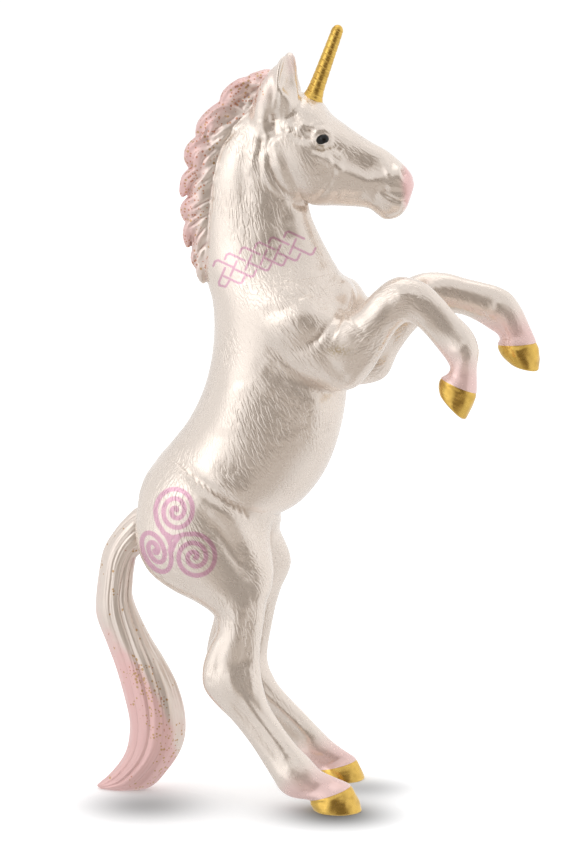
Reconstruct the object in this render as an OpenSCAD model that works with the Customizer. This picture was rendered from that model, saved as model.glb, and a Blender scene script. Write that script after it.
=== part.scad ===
// Rearing young unicorn, a glued figurine standing on two hind hooves and its tail.
// X runs forward towards the head, Y to the animal's left, Z up. The origin lies on the
// ground under the middle of the figure. Lengths in millimetres.

/* [View] */
// Which casting to show

/* [Body] */
// Height of the hip pin above the ground
hip_h = 40; // [38:0.5:42]
// Length of the body from the hip pin to the neck seam
body_l = 40; // [38:0.5:42]
// Depth of the barrel from back to belly
barrel_d = 21.6; // [20.5:0.1:22.6]
// Width of the barrel
body_w = 18; // [17:0.2:19]

/* [Neck and head] */
// Length of the neck from its seam to the middle of the poll
neck_l = 20; // [19:0.2:21]
// Width of the neck half way up
neck_w = 10; // [9.4:0.1:10.6]
// Length of the head from the poll to the lips
head_l = 20; // [19:0.2:21]
// Width of the head over the cheeks
head_w = 10; // [9.4:0.1:10.6]
// Height of an ear
ear_l = 9; // [8:0.2:10]
// Thickness of an ear
ear_t = 1.8; // [1.4:0.1:2.2]
// Diameter of an eye
eye_d = 1.8; // [1.5:0.1:2]

/* [Horn] */
// Length of the horn
horn_l = 11.6; // [9:0.2:14]
// Diameter of the horn at its foot
horn_base_d = 2.9; // [2.5:0.1:3.3]
// Diameter of the horn near its tip
horn_tip_d = 1.6; // [1.2:0.1:2]
// Turns of the spiral on the horn
horn_turns = 13; // [9:1:15]
// How far the spiral stands out
spiral_h = 0.12; // [0.08:0.01:0.2]

/* [Mane] */
// How far the mane stands out behind the neck
mane_d = 5; // [4:0.2:6]
// Width of the mane across the crest
mane_w = 6; // [5:0.2:7]

/* [Forelegs] */
// Reach of a foreleg from the shoulder pin to the fetlock
fore_l = 25; // [24:0.2:26]
// Width of a foreleg at the knee
fore_w = 4.8; // [4.4:0.1:5.2]
// Distance between the middles of the forelegs
fore_gauge = 14; // [13.4:0.2:15]
// Distance between the two shoulder seats
shoulder_seat_w = 11.2; // [10.8:0.1:11.6]

/* [Hind legs] */
// Width over both haunches
haunch_w = 18.8; // [17.8:0.2:19.6]
// Width of a hind leg above the hock
hind_w = 4.6; // [4.2:0.1:5]
// Distance between the middles of the hind hooves
hind_gauge = 18; // [17:0.2:19]
// Distance between the two haunch seats
haunch_seat_w = 9.2; // [8.8:0.1:9.8]

/* [Tail] */
// How far the tail sweeps back from its root
tail_sweep = 8; // [7:0.2:9]
// Width of the tail at its fullest
tail_w = 8; // [7:0.2:9]

/* [Pins] */
// Diameter of the pins of the neck and the haunches
big_pin_d = 3.6; // [3:0.1:4.2]
// Diameter of the pins of the shoulders and the tail
small_pin_d = 2.4; // [2:0.1:2.8]
// Diameter of the pins of the horn, mane and hooves
fine_pin_d = 1.4; // [1.2:0.1:1.6]
// Length of the large and small pins
pin_l = 3.2; // [2.6:0.1:3.6]
// Length of the fine pins
fine_pin_l = 1.6; // [1.2:0.1:1.8]
// Spare room round a pin and at its end
fit_gap = 0.05; // [0.03:0.01:0.1]

/* [Hidden] */
$fn = 32;
haunch_seat = haunch_seat_w / 2;
shoulder_seat = shoulder_seat_w / 2;

// Each row of a shares table is one ring: the point on the back or rear side and the point on
// the front side, in shares of the casting's length, and then its width and place across.
// Body: rear x, rear z, front x, front z, half width.
body_shares = [
  [-0.14, -0.2, -0.06, -0.195, 0.22],
  [-0.2, -0.17, 0, -0.17, 0.5],
  [-0.25, -0.115, 0.045, -0.125, 0.85],
  [-0.288, -0.038, 0.095, -0.06, 1],
  [-0.295, 0.075, 0.15, 0.015, 1.01],
  [-0.281, 0.19, 0.22, 0.083, 1.01],
  [-0.23, 0.292, 0.315, 0.14, 1.01],
  [-0.164, 0.372, 0.392, 0.228, 0.99],
  [-0.104, 0.452, 0.445, 0.335, 0.98],
  [-0.05, 0.56, 0.483, 0.475, 0.97],
  [-0.018, 0.675, 0.5, 0.625, 0.95],
  [-0.005, 0.795, 0.513, 0.763, 0.92],
  [-0.01, 0.9, 0.508, 0.908, 0.85],
  [-0.028, 0.97, 0.463, 1.025, 0.74]];
// Depth of the barrel in the table above
barrel_share = 0.54;

// Neck: crest x, crest z, throat x, throat z, half width.
neck_shares = [
  [-0.53, 0.105, 0.44, 0.145, 1.2],
  [-0.525, 0.28, 0.36, 0.295, 1.06],
  [-0.515, 0.455, 0.295, 0.435, 0.97],
  [-0.5, 0.635, 0.27, 0.515, 0.92],
  [-0.475, 0.825, 0.26, 0.55, 0.9],
  [-0.405, 1.015, 0.25, 0.57, 0.9],
  [-0.3, 1.18, 0.245, 0.585, 0.9],
  [-0.175, 1.3, 0.245, 0.59, 0.9]];
// Middle of the poll from the middle of the neck seam
poll_share = [0.095, 1];

// Head: brow x, brow z, jaw x, jaw z, half width.
head_shares = [
  [-0.15, 0.37, 0.155, -0.415, 0.9],
  [-0.04, 0.405, 0.175, -0.435, 0.92],
  [0.06, 0.405, 0.21, -0.45, 0.94],
  [0.17, 0.37, 0.275, -0.455, 0.94],
  [0.27, 0.315, 0.37, -0.455, 0.92],
  [0.34, 0.225, 0.47, -0.46, 0.86],
  [0.445, 0.145, 0.56, -0.465, 0.76],
  [0.54, 0.08, 0.63, -0.48, 0.68],
  [0.645, 0.015, 0.685, -0.52, 0.62],
  [0.74, -0.035, 0.74, -0.555, 0.59],
  [0.82, -0.095, 0.805, -0.55, 0.58],
  [0.89, -0.16, 0.865, -0.52, 0.56],
  [0.94, -0.225, 0.905, -0.465, 0.47],
  [0.96, -0.295, 0.93, -0.4, 0.3]];
// Swellings of the head: x, z, across, reach, height. Cheek, brow, cheek bone, nostril wing.
head_swell_shares = [
  [0.14, -0.13, 0.9, 0.26, 0.17],
  [0.27, 0.14, 0.8, 0.09, 0.07],
  [0.46, -0.1, 0.75, 0.1, 0.1],
  [0.83, -0.2, 0.55, 0.07, 0.12]];
// Ear: rear x, z, front x, z, in shares of the ear, and its thickness.
ear_shares = [
  [-0.26, 0, 0.2, 0, 0.8],
  [-0.27, 0.28, 0.25, 0.28, 1],
  [-0.22, 0.56, 0.21, 0.52, 0.9],
  [-0.12, 0.78, 0.16, 0.74, 0.7],
  [-0.04, 0.9, 0.09, 0.87, 0.4],
  [0.01, 0.97, 0.05, 0.96, 0.15]];
// Foot of the ear, middle of the eye and foot of the horn from the poll, in shares of the head
ear_place_share = [0.02, 0.235];
ear_across_share = 0.62;
ear_lean_share = 0.1;
left_ear_back_share = 0.12;
eye_place_share = [0.295, 0.06];
eye_across_share = 0.87;
horn_place_share = [0.2, 0.34];
horn_slant = 20;
horn_sink_share = 0.3;

// Mane: outer x, outer z, inner x, inner z, half width.
mane_shares = [
  [-0.03, 1.47, -0.025, 1.385, 0.4],
  [-0.135, 1.515, -0.095, 1.335, 0.7],
  [-0.265, 1.455, -0.19, 1.24, 0.85],
  [-0.355, 1.35, -0.265, 1.165, 0.85],
  [-0.46, 1.255, -0.325, 1.07, 0.95],
  [-0.53, 1.135, -0.38, 0.955, 0.9],
  [-0.615, 1.025, -0.415, 0.855, 1],
  [-0.665, 0.905, -0.425, 0.765, 1],
  [-0.65, 0.795, -0.44, 0.67, 0.92],
  [-0.725, 0.665, -0.46, 0.555, 1],
  [-0.695, 0.55, -0.463, 0.445, 0.95],
  [-0.705, 0.425, -0.463, 0.335, 0.95],
  [-0.665, 0.315, -0.465, 0.235, 0.85],
  [-0.685, 0.185, -0.47, 0.13, 0.8],
  [-0.625, 0.055, -0.485, 0.035, 0.6],
  [-0.545, -0.035, -0.495, -0.03, 0.35]];
// How far the fullest lock stands out in the table above
mane_share = 0.25;

// Forelegs: rear x, rear z, front x, front z, half width, place across.
right_fore_shares = [
  [-0.32, 0.01, -0.16, 0.25, 1.6, 0.57],
  [-0.255, -0.13, 0.03, 0.275, 1.85, 0.64],
  [-0.06, -0.244, 0.168, 0.208, 1.88, 0.69],
  [0.152, -0.292, 0.24, 0.184, 1.62, 0.8],
  [0.296, -0.268, 0.304, 0.216, 1.38, 0.9],
  [0.396, -0.164, 0.364, 0.272, 1.21, 0.97],
  [0.464, -0.048, 0.424, 0.324, 1.08, 1],
  [0.528, 0.064, 0.488, 0.376, 1, 1],
  [0.596, 0.132, 0.56, 0.404, 1.02, 1],
  [0.656, 0.12, 0.648, 0.392, 0.96, 1],
  [0.708, 0.076, 0.736, 0.352, 0.88, 1],
  [0.756, 0.02, 0.816, 0.276, 0.75, 1],
  [0.808, -0.044, 0.9, 0.18, 0.73, 1],
  [0.852, -0.104, 0.988, 0.088, 0.88, 1],
  [0.864, -0.144, 1.032, -0.016, 0.92, 1],
  [0.844, -0.176, 1.024, -0.144, 0.88, 1],
  [0.812, -0.196, 1.024, -0.284, 1.04, 1]];
right_fore_hoof_shares = [
  [0.796, -0.256, 1, -0.368, 1.1, 1],
  [0.808, -0.304, 0.952, -0.448, 1.04, 1]];
left_fore_shares = [
  [-0.32, 0.01, -0.16, 0.25, 1.6, 0.57],
  [-0.255, -0.13, 0.08, 0.325, 1.85, 0.64],
  [-0.06, -0.256, 0.235, 0.34, 1.88, 0.69],
  [0.152, -0.32, 0.31, 0.275, 1.65, 0.8],
  [0.32, -0.328, 0.344, 0.2, 1.42, 0.9],
  [0.452, -0.28, 0.4, 0.208, 1.22, 0.97],
  [0.524, -0.136, 0.472, 0.252, 1.08, 1],
  [0.6, -0.024, 0.556, 0.308, 1, 1],
  [0.684, 0.064, 0.648, 0.348, 1.02, 1],
  [0.748, 0.1, 0.736, 0.36, 1, 1],
  [0.828, 0.116, 0.832, 0.352, 0.9, 1],
  [0.924, 0.1, 0.936, 0.324, 0.8, 1],
  [1.012, 0.06, 1.04, 0.3, 0.76, 1],
  [1.076, 0.02, 1.128, 0.276, 0.78, 1],
  [1.12, -0.008, 1.208, 0.232, 0.88, 1],
  [1.14, -0.036, 1.272, 0.144, 0.92, 1],
  [1.136, -0.056, 1.32, 0.04, 0.88, 1],
  [1.128, -0.076, 1.364, -0.06, 1.06, 1]];
left_fore_hoof_shares = [
  [1.152, -0.14, 1.384, -0.148, 1.15, 1],
  [1.212, -0.2, 1.38, -0.236, 1.08, 1]];

// Hind legs: rear x, rear z, front x, front z, haunch half width, leg half width, place across.
right_hind_shares = [
  [-0.19, 0.338, 0.245, 0.09, 0.98, 0, 0],
  [-0.27, 0.232, 0.218, 0.05, 0.91, 0, 0.1],
  [-0.3, 0.105, 0.21, 0.005, 0.8, 0, 0.22],
  [-0.295, -0.013, 0.218, -0.04, 0.685, 0, 0.34],
  [-0.25, -0.11, 0.225, -0.08, 0.565, 0, 0.45],
  [-0.165, -0.175, 0.228, -0.118, 0.465, 0, 0.54],
  [-0.06, -0.225, 0.223, -0.165, 0.4, 0, 0.61],
  [0.005, -0.27, 0.205, -0.218, 0, 1.45, 0.67],
  [0.015, -0.325, 0.195, -0.29, 0, 1.22, 0.73],
  [-0.008, -0.38, 0.185, -0.365, 0, 1.09, 0.77],
  [-0.03, -0.445, 0.18, -0.438, 0, 1, 0.79],
  [-0.035, -0.505, 0.185, -0.485, 0, 1.04, 0.8],
  [-0.023, -0.558, 0.193, -0.53, 0, 1.04, 0.8],
  [0.018, -0.61, 0.203, -0.57, 0, 0.95, 0.81],
  [0.08, -0.67, 0.22, -0.615, 0, 0.83, 0.83],
  [0.148, -0.753, 0.263, -0.68, 0, 0.76, 0.88],
  [0.203, -0.835, 0.32, -0.753, 0, 0.8, 0.93],
  [0.238, -0.888, 0.373, -0.805, 0, 1, 0.96],
  [0.265, -0.928, 0.418, -0.85, 0, 0.95, 0.98],
  [0.308, -0.953, 0.473, -0.875, 0, 0.9, 0.99],
  [0.37, -0.959, 0.53, -0.903, 0, 1.15, 1]];
right_hind_hoof_shares = [
  [0.38, -0.978, 0.558, -0.955, 0, 1.3, 1],
  [0.39, -1, 0.575, -1, 0, 1.38, 1]];
left_hind_shares = [
  [-0.19, 0.338, 0.245, 0.09, 0.98, 0, 0],
  [-0.27, 0.232, 0.245, 0.065, 0.91, 0, 0.1],
  [-0.3, 0.105, 0.238, 0.023, 0.8, 0, 0.22],
  [-0.295, -0.013, 0.253, -0.025, 0.685, 0, 0.34],
  [-0.25, -0.11, 0.268, -0.07, 0.565, 0, 0.45],
  [-0.165, -0.175, 0.274, -0.12, 0.465, 0, 0.54],
  [-0.07, -0.23, 0.26, -0.17, 0.4, 0, 0.61],
  [-0.023, -0.285, 0.235, -0.225, 0, 1.45, 0.67],
  [-0.028, -0.35, 0.213, -0.295, 0, 1.22, 0.73],
  [-0.045, -0.415, 0.195, -0.38, 0, 1.09, 0.77],
  [-0.058, -0.48, 0.18, -0.465, 0, 1, 0.79],
  [-0.058, -0.545, 0.178, -0.52, 0, 1.04, 0.8],
  [-0.033, -0.605, 0.19, -0.565, 0, 1.04, 0.8],
  [0.05, -0.675, 0.218, -0.618, 0, 0.95, 0.81],
  [0.135, -0.725, 0.26, -0.67, 0, 0.83, 0.83],
  [0.203, -0.803, 0.32, -0.735, 0, 0.76, 0.88],
  [0.253, -0.865, 0.373, -0.795, 0, 0.8, 0.93],
  [0.283, -0.915, 0.42, -0.845, 0, 1, 0.96],
  [0.31, -0.945, 0.463, -0.88, 0, 0.95, 0.98],
  [0.335, -0.96, 0.498, -0.903, 0, 0.9, 0.99],
  [0.36, -0.963, 0.52, -0.923, 0, 1.15, 1]];
left_hind_hoof_shares = [
  [0.37, -0.98, 0.54, -0.963, 0, 1.3, 1],
  [0.378, -1, 0.555, -1, 0, 1.38, 1]];

// Tail: rear x, front x in shares of its sweep, rear z, front z in shares of the root height.
tail_shares = [
  [0, 1.088, 0, 0.912, 0.65],
  [-0.19, 1.065, -0.09, 0.9, 0.7],
  [-0.513, 0.995, -0.138, 0.885, 0.72],
  [-0.725, 0.924, -0.188, 0.839, 0.75],
  [-0.825, 0.834, -0.213, 0.795, 0.77],
  [-0.888, 0.727, -0.213, 0.746, 0.8],
  [-0.863, 0.659, -0.1, 0.683, 0.83],
  [-0.688, 0.566, 0.125, 0.593, 0.9],
  [-0.513, 0.468, 0.388, 0.51, 0.97],
  [-0.363, 0.361, 0.638, 0.417, 1],
  [-0.275, 0.276, 0.788, 0.32, 1],
  [-0.275, 0.21, 0.813, 0.227, 0.95],
  [-0.338, 0.151, 0.713, 0.156, 0.85],
  [-0.475, 0.1, 0.475, 0.083, 0.7],
  [-0.688, 0.051, 0.125, 0.012, 0.5],
  [-0.863, 0.022, -0.363, -0.006, 0.33],
  [-0.913, 0.012, -0.788, -0.004, 0.12]];

// Smooth curve through four neighbouring rows.
function curve(a, b, c, d, t) =
  0.5 * ((2 * b) + (c - a) * t + (2 * a - 5 * b + 4 * c - d) * t * t
  + (3 * b - a - 3 * c + d) * t * t * t);
function along(rows, u) = let (n = len(rows) - 1, i = min(floor(u * n), n - 1))
  curve(rows[max(i - 1, 0)], rows[i], rows[i + 1], rows[min(i + 2, n)], u * n - i);

// One row in lengths: a point is the place of the casting plus shares of its length.
function spread(r, from, l, deep) =
  let (m = [r[0] + r[2], r[1] + r[3]] / 2 * l, h = [r[2] - r[0], r[3] - r[1]] / 2 * l * deep)
  [from[0] + m[0] - h[0], from[1] + m[1] - h[1], from[0] + m[0] + h[0], from[1] + m[1] + h[1]];
function middle(r) = [r[0] + r[2], r[1] + r[3]] / 2;
function half(r) = [r[2] - r[0], r[3] - r[1]] / 2;
function lift(p, y) = [p[0], y, p[1]];

// A whole ring round both points.
function round_ring(r, sides) = [for (j = [0:sides - 1]) let (a = 360 * j / sides)
  lift(middle(r) + half(r) * cos(a), r[4] * sin(a) + r[5])];
// The same ring with swellings: each pushes the skin outwards round its own place.
function rise(p, swells) = [for (s = swells)
  s[4] * exp(-pow(norm([p[0] - s[0], p[2] - s[1], abs(p[1]) - s[2]]) / s[3], 2))] * [for (s = swells) 1];
function swollen_ring(r, sides, swells) = let (m = lift(middle(r), 0))
  [for (p = round_ring(r, sides)) p + (p - m) / norm(p - m) * rise(p, swells)];
// A ring cut flat at its seat, the last value of the row: the angle is where the cut starts.
function cut_angle(r) = asin(max(-0.995, min(0.97, (r[6] - r[5]) / r[4])));
function cut_ring(r, side, sides) = let (a0 = cut_angle(r))
  [for (j = [0:sides - 1]) let (a = a0 + (180 - 2 * a0) * j / (sides - 1))
  lift(middle(r) + half(r) * cos(a), side * (r[5] + r[4] * sin(a)))];
// Half a ring with its flat side at the front point.
function half_ring(r, sides) = [for (j = [0:sides - 1]) let (a = 180 * j / (sides - 1))
  lift([r[2], r[3]] - 2 * half(r) * sin(a), r[4] * cos(a))];

// Solid skin over a list of rings with closed ends.
module skin(rings, turned) {
  sides = len(rings[0]);
  last = len(rings) - 1;
  points = [for (r = rings) each r];
  strips = [for (i = [0:last - 1], j = [0:sides - 1])
    let (a = i * sides + j, b = i * sides + (j + 1) % sides, c = b + sides, d = a + sides)
    each [[a, d, c], [a, c, b]]];
  ends = [[for (j = [0:sides - 1]) j], [for (j = [sides - 1:-1:0]) last * sides + j]];
  faces = concat(ends, strips);
  polyhedron(points, turned ? [for (f = faces) [for (k = [len(f) - 1:-1:0]) f[k]]] : faces);
}

// Pin along a direction in the side view, sunk into its own casting by one diameter.
module pin(from, slant, l, d, spare) {
  translate(lift(from, 0)) rotate([0, slant, 0]) translate([0, 0, -d])
    cylinder(h = l + d + spare, d = d + 2 * spare);
}
// Pin across, from a seat towards the middle plane.
module cross_pin(from, seat, side, d, spare) {
  translate([from[0], side * (seat + d / 2), from[1]]) rotate([side * 90, 0, 0])
    cylinder(h = pin_l + d / 2 + spare, d = d + 2 * spare);
}

hip = [-0.3737 * hip_h, hip_h];
barrel_deep = barrel_d / (body_l * barrel_share);
body_rows = [for (r = body_shares) concat(spread(r, hip, body_l, barrel_deep), [r[4] * body_w / 2, 0])];
seam = body_rows[len(body_rows) - 1];
neck_at = middle(seam);
poll = neck_at + poll_share * neck_l;
neck_rows = [for (r = neck_shares) concat(spread(r, neck_at, neck_l, 1), [r[4] * neck_w / 2, 0])];
head_rows = [for (r = head_shares) concat(spread(r, poll, head_l, 1), [r[4] * head_w / 2, 0])];
mane_deep = mane_d / (neck_l * mane_share);
mane_rows = [for (r = mane_shares) let (s = spread(r, neck_at, neck_l, 1),
  reach = [s[2] - s[0], s[3] - s[1]] * mane_deep)
  [s[2] - reach[0], s[3] - reach[1], s[2], s[3], r[4] * mane_w / 2, 0]];
shoulder = hip + [0.35, 0.775] * body_l;
function fore_all(shares) = [for (r = shares)
  concat(spread(r, shoulder, fore_l, 1), [r[4] * fore_w / 2, r[5] * fore_gauge / 2])];
function hind_all(shares) = [for (r = shares)
  concat(spread(r, hip, hip_h, 1), [r[4] * haunch_w / 2 + r[5] * hind_w / 2, r[6] * hind_gauge / 2])];
// The root rows of a limb end at the seat, the next one half way and the free ones not at all.
function seated(rows, seat, root) = [for (i = [0:len(rows) - 1])
  concat(rows[i], [seat * (i < root ? 1 : i == root ? 0.5 : 0)])];
fore_root = 4;
hind_root = 7;
tail_at = hip + [-0.285, 0.025] * body_l;
tail_rows = [for (r = tail_shares) [tail_at[0] + r[0] * tail_sweep, tail_at[1] * r[1],
  tail_at[0] + r[2] * tail_sweep, tail_at[1] * r[3], r[4] * tail_w / 2, 0]];

// Slant of the pin that stands square on a ring and points up the limb.
function square_on(r) = atan2(half(r)[0], half(r)[1]) - 90;

// Where a limb lies over the torso in the side view, as the outline of its own root.
function root_edge(rows, i, steps, end) =
  let (r = along(rows, i / steps)) middle(r) + end * half(r) * cos(max(cut_angle(r), 0));
module root_pocket(rows, seat, side, steps, used) {
  outline = concat([for (i = [0:used]) root_edge(rows, i, steps, 1)],
    [for (i = [used:-1:0]) root_edge(rows, i, steps, -1)]);
  translate([0, side > 0 ? body_w : -seat, 0]) rotate([90, 0, 0])
    linear_extrude(body_w - seat) polygon(outline);
}

fore_steps = 44;
hind_steps = 54;
limb_sides = 17;
right_fore_rows = seated(fore_all(right_fore_shares), shoulder_seat, fore_root);
left_fore_rows = seated(fore_all(left_fore_shares), shoulder_seat, fore_root);
right_hind_rows = seated(hind_all(right_hind_shares), haunch_seat, hind_root);
left_hind_rows = seated(hind_all(left_hind_shares), haunch_seat, hind_root);
function last_of(rows) = rows[len(rows) - 1];
right_fore_hoof_rows = concat([last_of(right_fore_rows)], seated(fore_all(right_fore_hoof_shares), 0, 0));
left_fore_hoof_rows = concat([last_of(left_fore_rows)], seated(fore_all(left_fore_hoof_shares), 0, 0));
right_hind_hoof_rows = concat([last_of(right_hind_rows)], seated(hind_all(right_hind_hoof_shares), 0, 0));
left_hind_hoof_rows = concat([last_of(left_hind_rows)], seated(hind_all(left_hind_hoof_shares), 0, 0));

module limb(rows, side, steps) {
  skin([for (i = [0:steps]) cut_ring(along(rows, i / steps), side, limb_sides)], side > 0);
}
// Pin that holds a hoof, square on the last ring of its leg.
module hoof_pin(rows, side, spare) {
  top = rows[0];
  translate([0, side * top[5], 0]) pin(middle(top), square_on(top), fine_pin_l, fine_pin_d, spare);
}
module hoof(rows, side) {
  color("goldenrod") {
    limb(rows, side, 6);
    hoof_pin(rows, side, 0);
  }
}

ear_at = poll + ear_place_share * head_l;
eye_at = poll + eye_place_share * head_l;
horn_at = poll + horn_place_share * head_l;
ear_y = ear_across_share * head_w / 2;
eye_y = eye_across_share * head_w / 2;
head_swells = [for (s = head_swell_shares) [poll[0] + s[0] * head_l, poll[1] + s[1] * head_l,
  s[2] * head_w / 2, s[3] * head_l, s[4] * head_w / 2]];
horn_sink = horn_sink_share * horn_base_d;
// The left ear is turned back a little and lies lower.
function ear_rows(side) = let (back = side > 0 ? left_ear_back_share : 0)
  [for (r = ear_shares) concat(spread(r, ear_at - [r[1], r[1]] * back * ear_l, ear_l, 1),
  [r[4] * ear_t / 2, side * (ear_y + ear_lean_share * r[1] * ear_l)])];
// Half of the horn's thickness at a height, rounded off at the tip.
function horn_r(u) = (horn_base_d + (horn_tip_d - horn_base_d) * u) / 2
  * sqrt(max(0.02, 1 - pow(max(0, u - 0.93) / 0.07, 2)));
// One turn of the spiral takes five rings, each pushed aside in turn.
function horn_ring(i, last) = let (u = i / last, push = spiral_h * min(1, 8 * u, 8 * (1 - u)))
  [for (j = [0:11]) [horn_r(u) * cos(30 * j) + push * cos(72 * i),
  horn_r(u) * sin(30 * j) + push * sin(72 * i), (horn_l + horn_sink) * u - horn_sink]];
module mane_seat() {
  outline = concat([for (i = [0:60]) let (r = along(mane_rows, i / 60)) [r[2], r[3]]],
    [last_of(mane_rows) - [neck_l, 0, 0, 0, 0, 0], mane_rows[0] + [-neck_l, neck_l, 0, 0, 0, 0],
    mane_rows[0] + [0, neck_l, 0, 0, 0, 0]]);
  translate([0, neck_w, 0]) rotate([90, 0, 0])
    linear_extrude(2 * neck_w) polygon([for (p = outline) [p[0], p[1]]]);
}
module mane_pins(spare) {
  for (u = [0.3, 0.72]) let (r = along(mane_rows, u))
    pin([r[2], r[3]], atan2(half(r)[0], half(r)[1]), fine_pin_l, fine_pin_d, spare);
}

module torso() color("gainsboro") difference() {
  skin([for (i = [0:39]) round_ring(along(body_rows, i / 39), 36)], false);
  root_pocket(right_hind_rows, haunch_seat, -1, hind_steps, round(0.4 * hind_steps));
  root_pocket(left_hind_rows, haunch_seat, 1, hind_steps, round(0.4 * hind_steps));
  root_pocket(right_fore_rows, shoulder_seat, -1, fore_steps, round(0.38 * fore_steps));
  root_pocket(left_fore_rows, shoulder_seat, 1, fore_steps, round(0.38 * fore_steps));
  cross_pin(hip, haunch_seat, -1, big_pin_d, fit_gap);
  cross_pin(hip, haunch_seat, 1, big_pin_d, fit_gap);
  cross_pin(shoulder, shoulder_seat, -1, small_pin_d, fit_gap);
  cross_pin(shoulder, shoulder_seat, 1, small_pin_d, fit_gap);
  pin(neck_at, square_on(seam) + 180, pin_l, big_pin_d, fit_gap);
  pin(tail_at, 90, pin_l, small_pin_d, fit_gap);
  translate([tail_at[0] - body_l, -body_w, tail_at[1] - body_w / 2]) cube([body_l, 2 * body_w, body_w]);
}

module head_and_neck() color("gainsboro") {
  difference() {
    skin([for (i = [0:50]) swollen_ring(along(concat([seam], neck_rows, head_rows), i / 50), 28,
      head_swells)], false);
    mane_seat();
    mane_pins(fit_gap);
    translate(lift(horn_at, 0)) rotate([0, horn_slant, 0]) {
      translate([0, 0, -horn_sink]) cylinder(h = horn_base_d, d = horn_base_d + 2 * fit_gap);
      translate([0, 0, -horn_sink - fine_pin_l - fit_gap])
        cylinder(h = horn_base_d, d = fine_pin_d + 2 * fit_gap);
    }
    for (side = [-1, 1]) translate(lift(eye_at, side * eye_y)) sphere(d = eye_d + 2 * fit_gap, $fn = 20);
  }
  for (side = [-1, 1]) skin([for (i = [0:10]) round_ring(along(ear_rows(side), i / 10), 12)], false);
  pin(neck_at, square_on(seam) + 180, pin_l, big_pin_d, 0);
}

module mane() color("pink") {
  skin([for (i = [0:60]) half_ring(along(mane_rows, i / 60), 12)], true);
  mane_pins(0);
}

module horn() color("goldenrod") translate(lift(horn_at, 0)) rotate([0, horn_slant, 0]) {
  skin([for (i = [0:5 * horn_turns]) horn_ring(i, 5 * horn_turns)], false);
  translate([0, 0, -horn_sink - fine_pin_l]) cylinder(h = horn_base_d, d = fine_pin_d);
}

module eye(side) color("black") translate(lift(eye_at, side * eye_y)) sphere(d = eye_d, $fn = 20);
module right_eye() eye(-1);
module left_eye() eye(1);

module right_foreleg() color("gainsboro") {
  difference() {
    limb(right_fore_rows, -1, fore_steps);
    hoof_pin(right_fore_hoof_rows, -1, fit_gap);
  }
  cross_pin(shoulder, shoulder_seat, -1, small_pin_d, 0);
}
module left_foreleg() color("gainsboro") {
  difference() {
    limb(left_fore_rows, 1, fore_steps);
    hoof_pin(left_fore_hoof_rows, 1, fit_gap);
  }
  cross_pin(shoulder, shoulder_seat, 1, small_pin_d, 0);
}
module right_hind_leg() color("gainsboro") {
  difference() {
    limb(right_hind_rows, -1, hind_steps);
    hoof_pin(right_hind_hoof_rows, -1, fit_gap);
  }
  cross_pin(hip, haunch_seat, -1, big_pin_d, 0);
}
module left_hind_leg() color("gainsboro") {
  difference() {
    limb(left_hind_rows, 1, hind_steps);
    hoof_pin(left_hind_hoof_rows, 1, fit_gap);
  }
  cross_pin(hip, haunch_seat, 1, big_pin_d, 0);
}
module right_fore_hoof() hoof(right_fore_hoof_rows, -1);
module left_fore_hoof() hoof(left_fore_hoof_rows, 1);
module right_hind_hoof() hoof(right_hind_hoof_rows, -1);
module left_hind_hoof() hoof(left_hind_hoof_rows, 1);
module tail() color("pink") {
  difference() {
    skin([for (i = [0:44]) round_ring(along(tail_rows, i / 44), 20)], true);
    translate([tail_at[0] - body_l, -body_w, -body_w]) cube([2 * body_l, 2 * body_w, body_w]);
  }
  pin(tail_at, 90, pin_l, small_pin_d, 0);
}

torso();
head_and_neck();
mane();
horn();
right_eye();
left_eye();
right_foreleg();
left_foreleg();
right_hind_leg();
left_hind_leg();
right_fore_hoof();
left_fore_hoof();
right_hind_hoof();
left_hind_hoof();
tail();
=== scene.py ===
import bpy
import numpy as np
from math import cos, pi, prod, radians, sin
from mathutils import Matrix, Vector


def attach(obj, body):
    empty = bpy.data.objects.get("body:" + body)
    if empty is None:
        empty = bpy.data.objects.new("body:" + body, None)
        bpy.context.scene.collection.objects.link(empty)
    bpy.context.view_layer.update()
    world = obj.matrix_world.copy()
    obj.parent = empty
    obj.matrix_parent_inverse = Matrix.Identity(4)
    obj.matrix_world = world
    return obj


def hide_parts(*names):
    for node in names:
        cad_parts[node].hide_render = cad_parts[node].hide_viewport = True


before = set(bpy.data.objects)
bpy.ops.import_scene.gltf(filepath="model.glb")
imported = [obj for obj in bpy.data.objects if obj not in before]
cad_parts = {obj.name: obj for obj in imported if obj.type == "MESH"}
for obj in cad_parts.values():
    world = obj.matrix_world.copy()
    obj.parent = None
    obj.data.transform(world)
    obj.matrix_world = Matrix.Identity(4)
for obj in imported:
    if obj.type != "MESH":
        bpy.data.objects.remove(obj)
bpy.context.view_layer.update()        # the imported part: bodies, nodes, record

# A rearing unicorn foal about 118 mm tall. Everything is worked out in millimetres and put
# into the meshes in metres. X runs towards the head, Y to its left, Z up.
mm = 0.001


def added(name, data):
    piece = bpy.data.objects.new(name, data)
    bpy.context.scene.collection.objects.link(piece)
    return piece


shot = dict(turn=5, tilt=10, reach=540, target=(-3.8, 0, 56.5), lens=149.3, sensor=36, frame=(579, 862))
photoWide, photoTall = shot["frame"]
focal = shot["lens"] / shot["sensor"] * photoTall


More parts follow.
